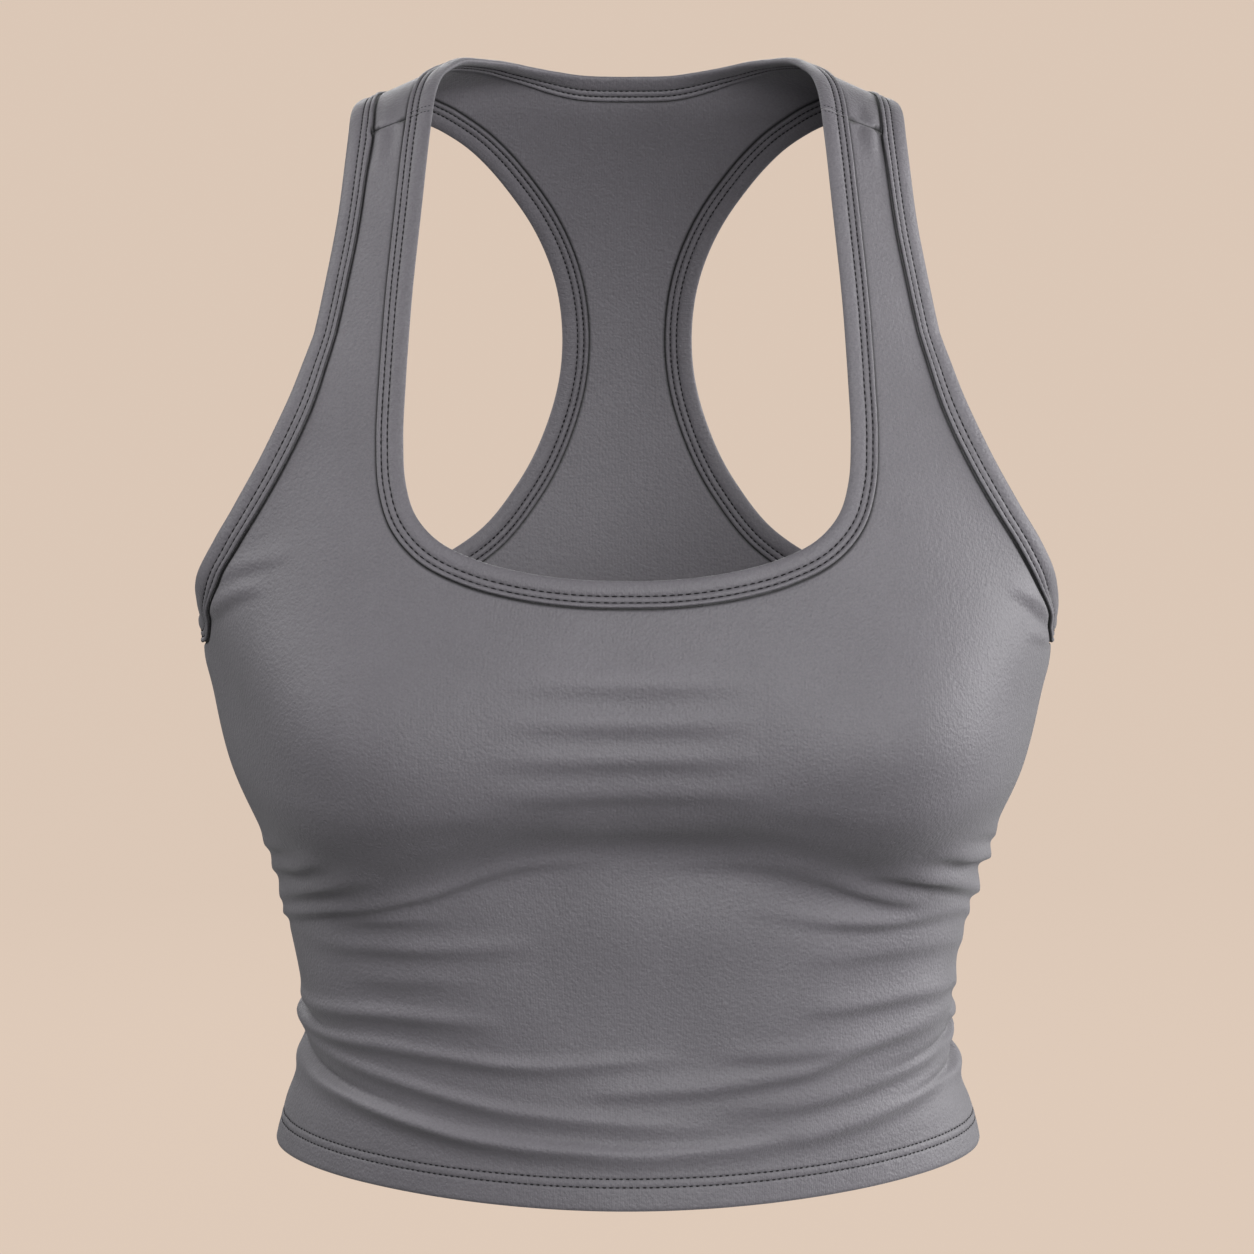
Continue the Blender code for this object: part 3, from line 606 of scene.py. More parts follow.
# what the sewing does to the face of a panel
def sewnFace(places, hem):
    turn, along = places.T
    fromHem = np.abs(hem) - np.abs(along)
    outside, _, reach = panelCut["roundEdge"]
    extra = -outside * hump(fromHem, reach)
    rise, *end = panelCut["hemRise"]
    extra += rise * fadeOut(fromHem, *end)
    depth, width = hemStitch["groove"]
    for row in hemStitch["rows"]:
        extra -= depth * hump(fromHem - row, width)
    rise, middle, reach = hemStitch["pucker"]
    lengthRound, lengthUp, seed = hemStitch["puckerWave"]
    waves = wobble(turn * mmPerDegree / lengthRound, fromHem / lengthUp, seed)
    extra += rise * hump(fromHem - middle, reach) * waves
    toSide, toShoulder = (90 - np.abs(turn)) * mmPerDegree, along - edges["shoulderSeam"]
    for away in (toSide, toShoulder):
        extra -= panelCut["seamDepth"] * hump(away, panelCut["seamWidth"])
    rise, reach, length, seed = panelCut["seamPucker"]
    return extra + rise * hump(toSide, reach) * wobble(along / length, 0.0, seed)


def hemRow(hem, fromHem):
    along = hem - math.copysign(fromHem, hem)
    count = round(180 * mmPerDegree / panelCut["hemStep"])
    turns = np.linspace(-90, 90, count + 1)
    return np.stack([turns, np.full(len(turns), along)], 1)


# which places lie inside a closed outline
def insideOf(polygon, places):
    found = np.zeros(len(places), bool)
    for (ax, ay), (bx, by) in zip(polygon, np.roll(polygon, -1, axis=0)):
        if ay == by:
            continue
        spans = (places[:, 1] > ay) != (places[:, 1] > by)
        found ^= spans & (places[:, 0] < ax + (places[:, 1] - ay) * (bx - ax) / (by - ay))
    return found


# places that fill a panel between its rows, every other line half a step over
def gridInside(polygon, kept):
    columns, longest = panelCut["gridReach"]
    fine = np.arange(panelCut["smoothAbove"], longest, panelCut["gridDown"])
    smooth = np.arange(0, panelCut["smoothAbove"], panelCut["gridDownSmooth"])
    lengths = np.concatenate([smooth, fine])
    places, across = [], panelCut["gridAcross"]
    for number, length in enumerate(np.concatenate([-lengths[:0:-1], lengths])):
        x = (np.arange(-columns, columns + 1) + 0.5 * (number % 2)) * across
        places.append(np.stack([x, np.full(len(x), length)], 1))
    places = np.vstack(places)
    places = places[insideOf(polygon, places)]
    tree = treeOf([(x, y, 0.0) for x, y in kept])
    clear = [tree.find((x, y, 0.0))[2] > panelCut["clear"] for x, y in places]
    return places[np.array(clear)]


# triangles through a panel's outline, its rows and its grid, in the flat plan
def triangulated(outline, rows, core):
    plan = np.array((edges["turnLength"], 1))
    points = [tuple(place) for place in outline * plan]
    links = [(i, (i + 1) % len(outline)) for i in range(len(outline))]
    for row in rows:
        first = len(points)
        points += [tuple(place) for place in row * plan]
        links += [(first + i, first + i + 1) for i in range(len(row) - 1)]
    points += [tuple(place) for place in gridInside(core * plan, points)]
    found = delaunay_2d_cdt(points, links, [list(range(len(outline)))], 1, 1e-4)
    places = np.array([tuple(point) for point in found[0]]) / plan
    triangles = np.array([tuple(triangle) for triangle in found[2]])
    a, b, c = (places[triangles[:, i]] for i in range(3))
    turned = (b - a)[:, 0] * (c - a)[:, 1] - (b - a)[:, 1] * (c - a)[:, 0] < 0
    triangles[turned] = triangles[turned][:, ::-1]
    return places, triangles


# the edges that only one triangle has
def rimOf(triangles):
    ends = np.concatenate([triangles[:, [0, 1]], triangles[:, [1, 2]], triangles[:, [2, 0]]])
    used = {tuple(pair) for pair in ends.tolist()}
    return [pair for pair in used if (pair[1], pair[0]) not in used]


def meshPiece(name, points, faces, uv, crestLightShade, groove):
    mesh = bpy.data.meshes.new(name)
    mesh.from_pydata(points.tolist(), [], faces)
    layer = mesh.uv_layers.new(name="cloth")
    corners = np.empty(len(mesh.loops), np.int32)
    mesh.loops.foreach_get("vertex_index", corners)
    layer.data.foreach_set("uv", uv[corners].astype(np.float32).ravel())
    for title, values in (("crestLightShade", crestLightShade), ("groove", groove)):
        layer = mesh.attributes.new(title, "FLOAT", "POINT")
        layer.data.foreach_set("value", np.asarray(values, np.float32))
    mesh.shade_smooth()
    piece = bpy.data.objects.new(name, mesh)
    bpy.context.scene.collection.objects.link(piece)
    return piece


def treeOf(spots):
    tree = KDTree(len(spots))
    for i, spot in enumerate(spots):
        tree.insert(spot, i)
    tree.balance()
    return tree


# how far each place lies from the nearest of some lines, in millimetres
def awayFrom(lines, places):
    tree = treeOf(np.vstack([bodyPoint(*line.T) for line in lines]))
    return np.array([tree.find(spot)[2] for spot in bodyPoint(*places.T)])


# a panel of two faces: the outside as sewn, the inside a wall below it, joined round the rim
def panelPiece(name, outline, rows, core, hem, bindingLines):
    places, triangles = triangulated(outline, rows, core)
    turn, along = places.T
    beside = awayFrom(bindingLines, places)
    turns, lengths, deeper, wider = panelCut["pinched"]
    pinched = softStep(*turns, np.abs(turn)) * softStep(*lengths, along)
    dip = hump(beside, panelCut["dipWidth"])
    extra = sewnFace(places, hem) - panelCut["dip"] * (1 + deeper * pinched) * dip
    fromHem = np.abs(hem) - np.abs(along)
    inHem = fadeOut(fromHem, *panelCut["hemDepth"])
    wall = panelCut["wall"] + (panelCut["hemWall"] - panelCut["wall"]) * inHem
    _, inside, reach = panelCut["roundEdge"]
    follow, followPinched = panelCut["dipInside"]
    inside = -wall + inside * hump(fromHem, reach) + (follow + followPinched * pinched) * dip
    outer, _ = placed(places, extra)
    lower, _ = placed(places, np.minimum(extra - panelCut["thinnest"], inside))
    count = len(places)
    faces = triangles.tolist() + (triangles[:, ::-1] + count).tolist()
    faces += [(b, a, a + count, b + count) for a, b in rimOf(triangles)]
    # painted highlight on the fold crests and painted shade at their feet, from how far the folds lift the
    # cloth
    crestLightShade = foldLift(aroundOf(turn, along), centreHeight(along))
    toSide, toShoulder = (90 - np.abs(turn)) * mmPerDegree, along - edges["shoulderSeam"]
    # painted shade in the bottoms of the binding, side and shoulder seams and along the hem stitch rows
    dark, width = panelCut["bindingShade"]
    groove = dark * hump(beside, width * (1 + wider * pinched))
    shades = [(panelCut["sideShade"], toSide), (panelCut["shoulderShade"], toShoulder)]
    shades += [(hemStitch["shade"], fromHem - row) for row in hemStitch["rows"]]
    for (dark, width), away in shades:
        groove += dark * hump(away, width)
    uv, crestLightShade, groove = (
        np.concatenate([values, values])
        for values in (places * (edges["turnLength"], 1) * mm, crestLightShade, np.clip(groove, 0, 1))
    )
    piece = meshPiece(name, np.vstack([outer, lower]), faces, uv, crestLightShade, groove)
    print(name, len(piece.data.polygons), "faces")
    return piece


# places up a side seam, from the hem to the armhole
def sideLine(hem, top, behind):
    low, high = panelCut["seamEnds"]
    levels = np.arange(float(centreHeight(hem)) + low, float(centreHeight(top)) - high, panelCut["seamStep"])
    lines = [hem] + [hem - math.copysign(d, hem) for d in panelCut["hemRows"]]
    lines += [float(alongAt(level, behind)) for level in levels]
    return np.array([(90.0, along) for along in lines])


# rows beside the neck edge and the armhole edge of one panel
def edgeRows(behind, distances, step):
    side, seam = -1 if behind else 1, edges["shoulderSeam"]
    ends = ((1, seam), (0, 90.0)) if behind else ((0, 90.0), (1, seam))
    neck = strip(edges["neck"][::side], side, distances, (1, seam), (0, 0.0), step)
    return neck, strip(armholeTable(behind), 1, distances, *ends, step)


def buildPanel(name, behind):
    hem = backHem if behind else frontHem
    rows = list(panelCut["edgeRows"])
    cut, last = rows[0], rows[-1]
    dips = edgeRows(behind, (panelCut["bindingSeam"],), panelCut["dipStep"])
    lines = [row for found in dips for row in found.values()]
    bindingLines = lines + [mirrored(line) for line in lines]
    neck, arm = edgeRows(behind, rows, panelCut["edgeStep"])
    if behind:
        arm = {d: row[::-1] for d, row in arm.items()}
    side = sideLine(hem, arm[last][0, 1], behind)
    sideTops = np.array([arm[d][0] for d in rows[:0:-1]])
    seamPlace = [arm[d][-1] for d in rows[1:]]
    degree, step = panelCut["shoulderStep"]
    count = max(2, round((arm[last][-1, 0] - neck[last][0, 0]) * degree / step))
    seamPlace += list(np.linspace(arm[last][-1], neck[last][0], count + 1)[1:-1])
    seamPlace += [neck[d][0] for d in rows[:0:-1]]
    half = np.vstack([side, sideTops, arm[cut], np.array(seamPlace), neck[cut]])
    half[-1, 0] = 0.0
    bottom = hemRow(hem, 0)[1:-1]
    outline = np.vstack([bottom, half, mirrored(half[-2::-1])])
    lines = [hemRow(hem, d) for d in panelCut["hemRows"]]
    for d in rows[1:]:
        lines += [bothHalves(neck[d]), arm[d], mirrored(arm[d])]
    for d in panelCut["seamRows"]:
        row = side[len(panelCut["hemRows"]) + 1:].copy()
        row[:, 0] = 90 - d / mmPerDegree
        line = np.array(seamPlace[len(rows) - 1:1 - len(rows)])
        line[:, 1] += d if behind else -d
        lines += [row, mirrored(row), line, mirrored(line)]
    top = np.vstack([arm[last], neck[last]])
    core = np.vstack([hemRow(hem, panelCut["hemRows"][-1]), top, mirrored(top[-2::-1])])
    return panelPiece(name, outline, lines, core, hem, bindingLines)


frontPanel = buildPanel("front_cloth", False)
backPanel = buildPanel("back_cloth", True)

binding = {
    # over the outside of the fold: distance in from the edge, height above the panel, how much painted shade
    # it takes at the bottom of a groove
    "outside": (
        (9.2, 0.02, 1.0), (9.36, -0.24, 1.0), (9.5, 0.10, 1.0), (9.62, 0.44, 0.8), (9.58, 0.78, 0.2),
        (9.3, 1.02, 0.0), (8.75, 1.08, 0.0), (8.4, 0.90, 0.0), (8.12, 0.60, 0.15), (7.9, 0.38, 0.7),
        (7.65, 0.56, 0.15), (7.3, 0.80, 0.0), (6.75, 0.90, 0.0), (6.2, 0.80, 0.0), (5.87, 0.56, 0.1),
        (5.6, 0.40, 0.5), (5.3, 0.58, 0.1), (4.85, 0.84, 0.0), (4.1, 1.0, 0.0), (3.2, 1.08, 0.0),
        (2.2, 0.99, 0.0), (1.3, 0.82, 0.0), (0.6, 0.52, 0.0), (0.15, 0.12, 0.0),
    ),
    "slot": ((1.5, -0.66), (1.5, 0.02)),
    "foldEdge": (0.0, -0.33),
    "panelMiddle": -0.325,
    "faceFrom": 0.5,  # how far from the middle and from the edge the puckered faces begin
    "sectionStep": 0.5,  # on the flat pattern
    "stationStep": 0.74,
    "stitchRows": (5.6, 7.9),
    "pitch": ((30, 110, 195, 212), (2.02, 2.15, 2.6, 2.8)),  # by how far below the ridge in front
    "pinch": (0.10, 2.05, 6.75, 1.6),  # depth, pitch, then its middle and reach between the stitch rows
    "unevenness": (0.06, 3.1, 13.0),  # rise and lengths
    "paintedShading": (2.2, -0.9, -0.6, 1.5),  # painted highlight on the crests and painted shade in the hollows, from height: times, plus, least, most
    "jointGap": 0.06,
    "stitchHeight": 0.52,
}


# the height on the inside that matches one on the outside
def inner(height):
    return 2 * binding["panelMiddle"] - height


# the whole section, round the outside, the fold and the inside, with a slot for the panel's edge
def bindingSection():
    outside = list(binding["outside"])
    inside = [(d, inner(h), groove) for d, h, groove in reversed(outside)]
    bare = [(d, h, 0.0) for d, h in (binding["foldEdge"], *binding["slot"])]
    return outside + bare[:1] + inside + bare[1:]


def bindingPiece(name, rows, ring, seed):
    section = bindingSection()
    lengths = lengthsAlong(bodyPoint(*rows[section[0][0]].T))
    depth, pitch, between, reach = binding["pinch"]
    pinches = depth * (0.5 + 0.5 * np.cos(2 * math.pi * lengths / pitch))
    rise, short, long = binding["unevenness"]
    uneven = rise * wobble(lengths / short, lengths / long, seed)
    middle = binding["panelMiddle"]
    loops, uv = [], []
    for number, (d, h, _) in enumerate(section):
        fuller = uneven - pinches * hump(d - between, reach)
        isFace = min(abs(h - middle), d) > binding["faceFrom"]
        loops.append(placed(rows[d], h + (math.copysign(1, h - middle) * fuller if isFace else 0))[0])
        across = number * binding["sectionStep"]
        uv.append(np.stack([lengths, np.full(len(lengths), across)], 1) * mm)
    points, uv = np.stack(loops, 1), np.stack(uv, 1)
    count, size = points.shape[:2]
    faces = []
    for i in range(count if ring else count - 1):
        here, there = i * size, (i + 1) % count * size
        faces += [(here + j, here + (j + 1) % size, there + (j + 1) % size, there + j) for j in range(size)]
    if not ring:
        faces.append(tuple(range(size))[::-1])
        faces.append(tuple(range((count - 1) * size, count * size)))
    # painted highlight and shade on the binding from the section's heights, and painted shade in its grooves
    # from the section's last column
    height, groove = (np.tile(np.array([row[i] for row in section]), count) for i in (1, 2))
    scale, offset, *limits = binding["paintedShading"]
    crestLightShade = np.clip(scale * height + offset, *limits)
    piece = meshPiece(name, points.reshape(-1, 3), faces, uv.reshape(-1, 2), crestLightShade, groove)
    if signedVolume(piece.data) < 0:
        piece.data.flip_normals()
    print(name, len(piece.data.polygons), "faces")
    return piece


def signedVolume(mesh):
    mesh.calc_loop_triangles()
    corners = np.empty(len(mesh.loop_triangles) * 3, np.int32)
    mesh.loop_triangles.foreach_get("vertices", corners)
    points = np.empty(len(mesh.vertices) * 3)
    mesh.vertices.foreach_get("co", points)
    return np.linalg.det(points.reshape(-1, 3)[corners].reshape(-1, 3, 3)).sum() / 6


sectionRows = sorted({d for d, _, _ in bindingSection()})
seamAt, jointGap = edges["shoulderSeam"], binding["jointGap"]


def neckRows(side):
    ends = (1, seamAt - side * jointGap), (0, 0.0)
    rows = strip(edges["neck"][::side], side, sectionRows, *ends, binding["stationStep"])
    return {d: bothHalves(row) for d, row in rows.items()}


neckFront, neckBack = neckRows(1), neckRows(-1)
armFront, armBack = (edgeRows(behind, sectionRows, binding["stationStep"])[1] for behind in (False, True))
armRound = {d: np.vstack([armFront[d], armBack[d][1:-1]]) for d in sectionRows}
armOther = {d: mirrored(row) for d, row in armRound.items()}

neckBindingFront = bindingPiece("neck_edge_front", neckFront, False, 1.0)
neckBindingBack = bindingPiece("neck_edge_back", neckBack, False, 2.0)
armholeLeft = bindingPiece("armhole_edge_left", armRound, True, 3.0)
armholeRight = bindingPiece("armhole_edge_right", armOther, True, 4.0)

stitch = {
    "length": 1.5,
    "thick": 0.56,
    "high": 0.38,
    "bow": 0.14,  # how far its ends are bent down
    "bentEnds": 0.42,  # how far out they start, as a share of the length
    "jointPitch": 1.15,
    "jointSize": 0.6,
    "jointRise": 0.03,
    "jointSpan": (0.5, 9.3),  # how far in from the edge they run
    "jointPlace": 0.6,  # where between two stations they stand
    "lookAhead": 0.4,  # how far before and behind a stitch its direction is read
    "hemRise": (0.09, 0.06),  # outside, inside
}


def deselectAll():
    for found in bpy.context.selected_objects:
        found.select_set(False)


# one stitch of thread: a small ball drawn out long, its two ends bent down into the cloth
def makeStitch():
    deselectAll()
    bpy.ops.mesh.primitive_uv_sphere_add(segments=6, ring_count=4, radius=0.5, rotation=(0, math.pi / 2, 0))
    one = bpy.context.object
    bpy.ops.object.transform_apply(location=False, rotation=True, scale=False)
    bpy.ops.object.mode_set(mode="EDIT")
    bpy.ops.mesh.select_all(action="SELECT")
    bpy.ops.transform.resize(value=(stitch["length"], stitch["thick"], stitch["high"]))
    bpy.ops.mesh.select_all(action="DESELECT")
    bpy.ops.object.mode_set(mode="OBJECT")
    for vertex in one.data.vertices:
        vertex.select = abs(vertex.co.x) > stitch["bentEnds"] * stitch["length"]
    bpy.ops.object.mode_set(mode="EDIT")
    bpy.ops.transform.translate(value=(0, 0, -stitch["bow"]))
    bpy.ops.object.mode_set(mode="OBJECT")
    points = np.array([tuple(vertex.co) for vertex in one.data.vertices])
    faces = [tuple(polygon.vertices) for polygon in one.data.polygons]
    bpy.data.objects.remove(one)
    return points, faces


stitchPoints, stitchFaces = makeStitch()


# copies of the stitch along a row of places, at a height above the cloth
def stitchRow(places, height, pitch, below=False, size=1.0):
    points, normals = placed(places, height)
    lengths = lengthsAlong(points)
    pitch = np.broadcast_to(pitch, len(places))
    marks = np.append(0, np.cumsum(2 * np.diff(lengths) / ((pitch[1:] + pitch[:-1]) * mm)))
    count = int(marks[-1])
    at = np.interp((np.arange(count) + 0.5) * marks[-1] / count, marks, lengths)
    # a longer stitch where they stand further apart
    drawn = np.ones((count, 1, 3))
    drawn[:, 0, 0] = np.interp(at, lengths, pitch) / pitch.min()

    def along(values, shift=0.0):
        return np.stack([np.interp(at + shift * mm, lengths, values[:, i]) for i in range(3)], 1)

    ups = unit(along(normals)) * (-1 if below else 1)
    run = along(points, stitch["lookAhead"]) - along(points, -stitch["lookAhead"])
    run = unit(run - (run * ups).sum(1)[:, None] * ups)
    turned = np.stack([run, np.cross(ups, run), ups], 1)
    return np.einsum("npk,nkx->npx", stitchPoints * drawn * (size * mm), turned) + along(points)[:, None]


def stitchPiece(name, sets):
    points = np.concatenate(sets)
    count, size = points.shape[:2]
    faces = [tuple(i * size + v for v in face) for i in range(count) for face in stitchFaces]
    none = np.zeros(count * size)
    piece = meshPiece(name, points.reshape(-1, 3), faces, np.zeros((count * size, 2)), none, none)
    print(name, count, "stitches")
    return piece


def edgeStitches(rows):
    sets, height = [], binding["stitchHeight"]
    for d in binding["stitchRows"]:
        pitch = np.interp(-rows[d][:, 1], *binding["pitch"])
        sets.append(stitchRow(rows[d], height, pitch))
        sets.append(stitchRow(rows[d], inner(height), pitch, True))
    return sets


# small stitches across a binding, beside each end of it
def jointStitches(rows):
    low, high = stitch["jointSpan"]
    profile = [(d, h) for d, h, _ in binding["outside"] if low < d < high]
    heights = np.array([h for _, h in profile]) + stitch["jointRise"]
    pitch, size = stitch["jointPitch"], stitch["jointSize"]
    sets, share = [], stitch["jointPlace"]
    for near, far in ((1, 2), (-2, -3)):
        places = np.array([(1 - share) * rows[d][near] + share * rows[d][far] for d, _ in profile])
        sets.append(stitchRow(places, heights, pitch, size=size))
        sets.append(stitchRow(places, inner(heights), pitch, True, size))
    return sets


def armholeStitches(name, rows):
    ring = {d: np.vstack([row, row[:1]]) for d, row in rows.items()}
    return stitchPiece(name, edgeStitches(ring) + jointStitches(ring))


neckSets = edgeStitches(neckFront) + edgeStitches(neckBack)
neckSets += jointStitches(neckFront) + jointStitches(neckBack)
neckStitches = stitchPiece("neck_stitches", neckSets)
armStitchesLeft = armholeStitches("armhole_stitches_left", armRound)
armStitchesRight = armholeStitches("armhole_stitches_right", armOther)


def hemStitches(name, hem):
    sets = []
    outside, inside = stitch["hemRise"]
    for d in hemStitch["rows"]:
        row = hemRow(hem, d)
        sets.append(stitchRow(row, sewnFace(row, hem) + outside, hemStitch["pitch"]))
        sets.append(stitchRow(row, -panelCut["hemWall"] - inside, hemStitch["pitch"], True))
    return stitchPiece(name, sets)


hemStitchesFront = hemStitches("hem_stitches_front", frontHem)
hemStitchesBack = hemStitches("hem_stitches_back", backHem)

finish = {
    "cloth": (0.143, 0.135, 0.149),
    # near black, much darker than the cloth: partly the thread's own colour, partly painted shade of the
    # holes the stitches sink into
    "edgeCloth": (0.136, 0.128, 0.142),
    "thread": (0.016, 0.015, 0.017),
    "jersey": {"Roughness": 0.56, "Sheen Weight": 0.14, "Sheen Roughness": 0.45, "Specular IOR Level": 0.42},
    "cotton": {"Roughness": 0.8, "Specular IOR Level": 0.1},
    # how fine, how detailed and how rough each noise is
    "fleck": (1300.0, 3, 0.6),
    "grain": (1300.0, 4, 0.6),
    "mottle": (26.0, 7, 0.72),
    "swirl": (624.0, 2, 0.5),
    "twist": (2600.0, 2, 0.5),
    "ribs": (360.0, 1.5),
    "creping": (780.0, 0.6),
    "crepingBend": (0.0016, 0.0016, 0.0016),
    # stretch of what drives it, then the darkest and lightest tone
    "fleckTones": (0.3, 0.7, 0.88, 1.08),
    "mottleTones": (0.3, 0.7, 0.94, 1.06),
    # painted highlight on the crests and painted shade in the fold feet and binding hollows
    "crestLightShadeTones": (-1.2, 1.6, 0.92, 1.08),
    # painted shade in the bottoms of the seams and grooves
    "grooveTones": (0.0, 1.0, 1.0, 0.06),
    "twistTones": (0.0, 1.0, 0.7, 1.3),
    "depth": {"creping": 0.18, "grain": 0.16, "ribs": 0.02, "twist": 0.03},
}


# a node, its settings, and its inputs, each a value or what another node gives
def addNode(tree, kind, inputs, **settings):
    node = tree.nodes.new("ShaderNode" + kind)
    for name, value in settings.items():
        setattr(node, name, value)
    for name, value in inputs.items():
        if isinstance(value, bpy.types.NodeSocket):
            tree.links.new(value, node.inputs[name])
        else:
            node.inputs[name].default_value = value
    return node.outputs


def noise(tree, where, name):
    inputs = dict(zip(("Scale", "Detail", "Roughness"), finish[name]), Vector=where)
    return addNode(tree, "TexNoise", inputs)


def toned(tree, driver, name):
    inputs = dict(zip(("From Min", "From Max", "To Min", "To Max"), finish[name]), Value=driver)
    return addNode(tree, "MapRange", inputs)["Result"]


def bumped(tree, height, name, **under):
    inputs = {"Height": height, "Distance": finish["depth"][name] * mm, **under}
    return addNode(tree, "Bump", inputs)["Normal"]


def startFinish(name, constants):
    made = bpy.data.materials.new(name)
    made.use_nodes = True
    shader = made.node_tree.nodes["Principled BSDF"].inputs
    for socket, value in constants.items():
        shader[socket].default_value = value
    return made, made.node_tree, shader


def endFinish(tree, shader, colour, tone, surface):
    paint = addNode(tree, "VectorMath", {0: colour, "Scale": tone}, operation="SCALE")["Vector"]
    tree.links.new(paint, shader["Base Color"])
    tree.links.new(surface, shader["Normal"])


# flecked and mottled, with a painted highlight on the crests and painted shade in the fold feet and the
# seams, with a crinkled face
def clothFinish(name, colour):
    made, tree, shader = startFinish(name, finish["jersey"])
    where = addNode(tree, "TexCoord", {})["Object"]
    drivers = {name: noise(tree, where, name)["Fac"] for name in ("fleck", "mottle")}
    # the two attributes paint highlight on the crests and shade in the fold feet and the seams
    for name in ("crestLightShade", "groove"):
        drivers[name] = addNode(tree, "Attribute", {}, attribute_name=name)["Fac"]
    tones = [toned(tree, driver, name + "Tones") for name, driver in drivers.items()]
    tone = tones[0]
    for other in tones[1:]:
        tone = addNode(tree, "Math", {0: tone, 1: other}, operation="MULTIPLY")["Value"]

    swirl = {0: noise(tree, where, "swirl")["Color"], 1: finish["crepingBend"], 2: where}
    bent = addNode(tree, "VectorMath", swirl, operation="MULTIPLY_ADD")["Vector"]
    scale, smooth = finish["creping"]
    cells = {"Vector": bent, "Scale": scale, "Smoothness": smooth}
    cells = addNode(tree, "TexVoronoi", cells, feature="SMOOTH_F1")
    surface = bumped(tree, cells["Distance"], "creping")
    surface = bumped(tree, noise(tree, where, "grain")["Fac"], "grain", Normal=surface)
    scale, uneven = finish["ribs"]
    along = addNode(tree, "UVMap", {}, uv_map="cloth")["UV"]
    ribs = addNode(tree, "TexWave", {"Vector": along, "Scale": scale, "Distortion": uneven})
    surface = bumped(tree, ribs["Fac"], "ribs", Normal=surface)
    endFinish(tree, shader, colour, tone, surface)
    return made


def threadFinish(name):
    made, tree, shader = startFinish(name, finish["cotton"])
    twist = noise(tree, addNode(tree, "TexCoord", {})["Object"], "twist")["Fac"]
    endFinish(tree, shader, finish["thread"], toned(tree, twist, "twistTones"), bumped(tree, twist, "twist"))
    return made


bodyCloth = clothFinish("brushed_jersey", finish["cloth"])
edgeCloth = clothFinish("binding_jersey", finish["edgeCloth"])
thread = threadFinish("sewing_thread")

dressed = (
    (frontPanel, bodyCloth, "front_cloth", ("front_panel",)),
    (backPanel, bodyCloth, "back_cloth", ("back_panel",)),
    (neckBindingFront, edgeCloth, "neck_binding_cloth", ("neck_binding_front",)),
    (neckBindingBack, edgeCloth, "neck_binding_cloth", ("neck_binding_back",)),
    (armholeLeft, edgeCloth, "armhole_binding_cloth", ("armhole_binding_left",)),
    (armholeRight, edgeCloth, "armhole_binding_cloth", ("armhole_binding_right",)),
    (neckStitches, thread, "neck_binding_cloth", ()),
    (armStitchesLeft, thread, "armhole_binding_cloth", ()),
    (armStitchesRight, thread, "armhole_binding_cloth", ()),
    (hemStitchesFront, thread, "front_cloth", ()),
    (hemStitchesBack, thread, "back_cloth", ()),
)
for piece, surface, slotName, nodes in dressed:
    piece.data.materials.append(surface)
    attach(piece, "root")
    if nodes:
        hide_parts(*nodes)
# the room
studio = {
    "floorDrop": 1.1,
    "bowlRadius": 9.0,
    "bowlHeight": 7.0,
    "bowlBend": (2.5, 12),  # width and steps of the round between floor and wall
    "paper": {
        "Roughness": 1.0,
        "Specular IOR Level": 0.0,
        "Base Color": (0.02, 0.016, 0.013, 1),
        "Emission Color": (0.716, 0.578, 0.474, 1),
        "Emission Strength": 0.985,
    },
    "roomLight": 0.125,
    "lampsAway": 3.4,
    "lampSize": 2.0,
    # turn from straight in front, rise above level, watts
    "lamps": {
        "front": (12, 19, 85.0),
        "side": (105, 8, 116.0),
        "left": (-98, 28, 70.0),
        "key": (40, 22, 36.0),
        "behind": (185, 10, 52.0),
    },
    "camera": {"lens": 209.0, "sensor_width": 36.0, "shift_y": -0.0167, "clip_end": 60.0},
    "away": 2.6,
    "cameraTilt": 10.3,
    "aim": (0.0, 0.0, -0.195),
}
scene, aim = bpy.context.scene, Vector(studio["aim"])


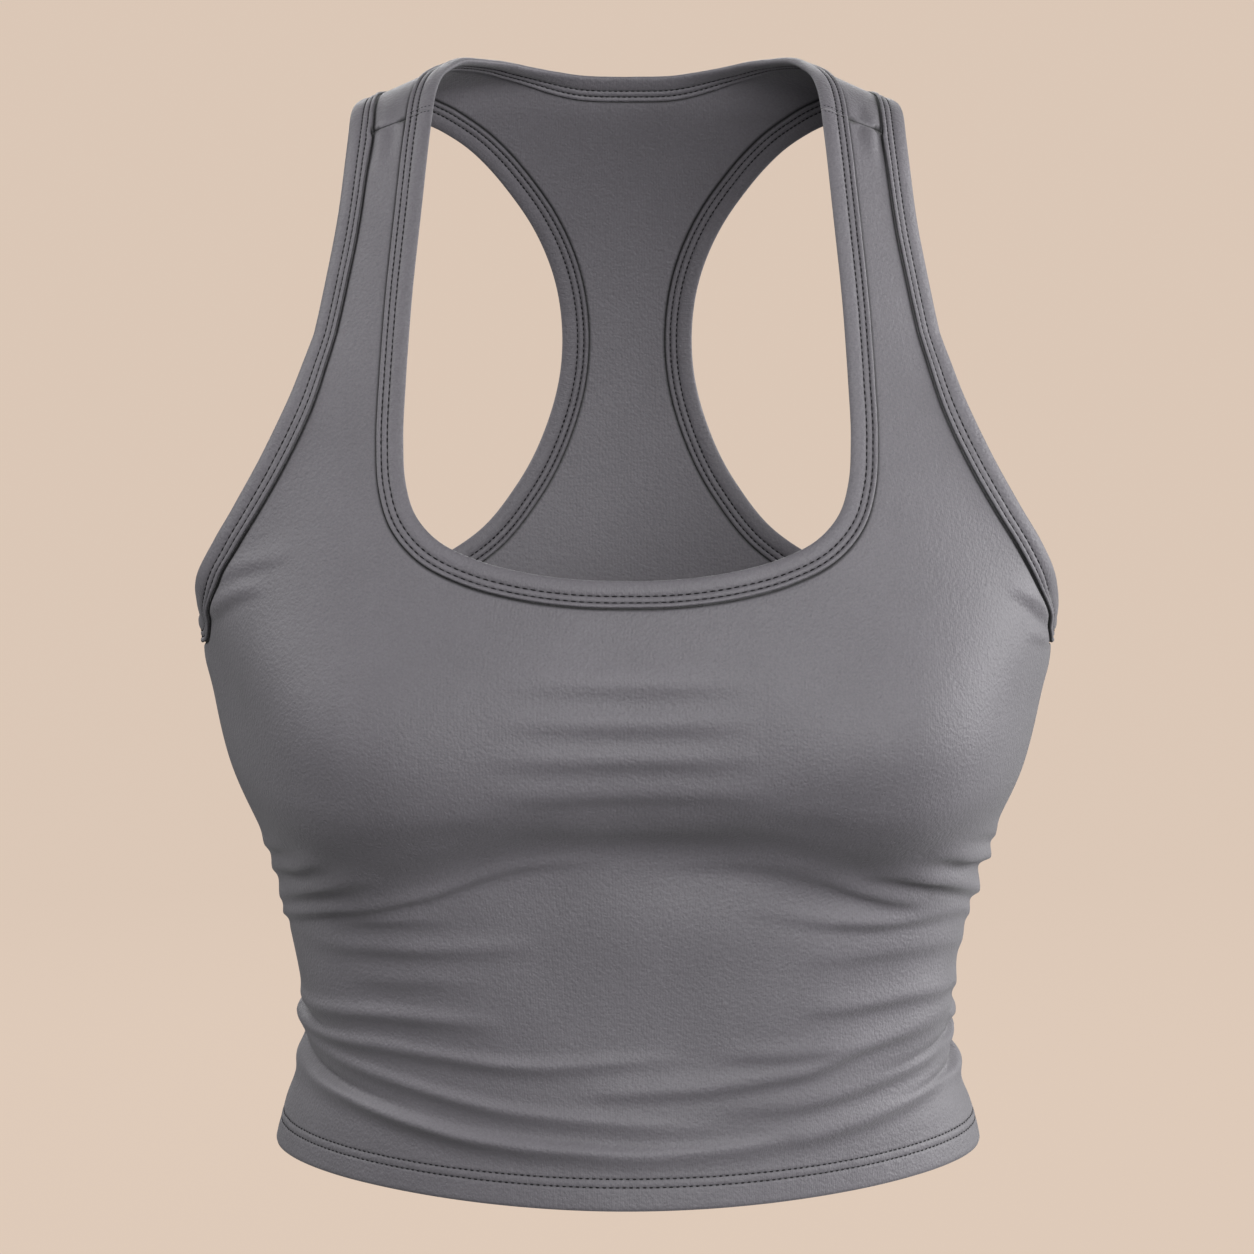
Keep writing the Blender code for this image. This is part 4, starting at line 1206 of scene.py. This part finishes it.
def buildFloor():
    deselectAll()
    place, radius = (0, 0, -studio["floorDrop"]), studio["bowlRadius"]
    bpy.ops.mesh.primitive_circle_add(vertices=96, radius=radius, fill_type="NGON", location=place)
    floor = bpy.context.object
    floor.name = "studio_floor"
    bpy.ops.object.transform_apply(location=True, rotation=False, scale=False)
    bpy.ops.object.mode_set(mode="EDIT")
    bpy.ops.mesh.select_mode(type="EDGE")
    bpy.ops.mesh.select_all(action="SELECT")
    bpy.ops.mesh.region_to_loop()
    bpy.ops.mesh.extrude_region_move(TRANSFORM_OT_translate={"value": (0, 0, studio["bowlHeight"])})
    bpy.ops.object.mode_set(mode="OBJECT")
    soften = floor.modifiers.new("soften", "BEVEL")
    soften.width, soften.segments = studio["bowlBend"]
    bpy.ops.object.modifier_apply(modifier="soften")
    floor.data.shade_smooth()
    # it glows evenly and throws no colour on the cloth
    floor.visible_diffuse = False
    floor.visible_glossy = False
    floor.data.materials.append(startFinish("studio_paper", studio["paper"])[0])


buildFloor()


# a thing that stands away from the aim and looks back at it
def addAt(name, data, turn, rise, away):
    made = bpy.data.objects.new(name, data)
    scene.collection.objects.link(made)
    turn, rise = math.radians(turn), math.radians(rise)
    out = Vector((math.sin(turn) * math.cos(rise), -math.cos(turn) * math.cos(rise), math.sin(rise)))
    made.location = aim + out * away
    made.rotation_euler = out.to_track_quat("Z", "Y").to_euler()
    return made


for name, (turn, rise, power) in studio["lamps"].items():
    data = bpy.data.lights.new(name, "AREA")
    data.shape = "DISK"
    data.size = studio["lampSize"]
    data.energy = power
    addAt(name, data, turn, rise, studio["lampsAway"]).visible_camera = False

scene.world = bpy.data.worlds.new("soft_room")
scene.world.use_nodes = True
room = scene.world.node_tree.nodes["Background"].inputs
room["Color"].default_value = (1, 1, 1, 1)
room["Strength"].default_value = studio["roomLight"]
scene.view_settings.view_transform = "Standard"

lens = bpy.data.cameras.new("camera")
for name, value in studio["camera"].items():
    setattr(lens, name, value)
scene.camera = addAt("camera", lens, 0, studio["cameraTilt"], studio["away"])
print("studio ready")
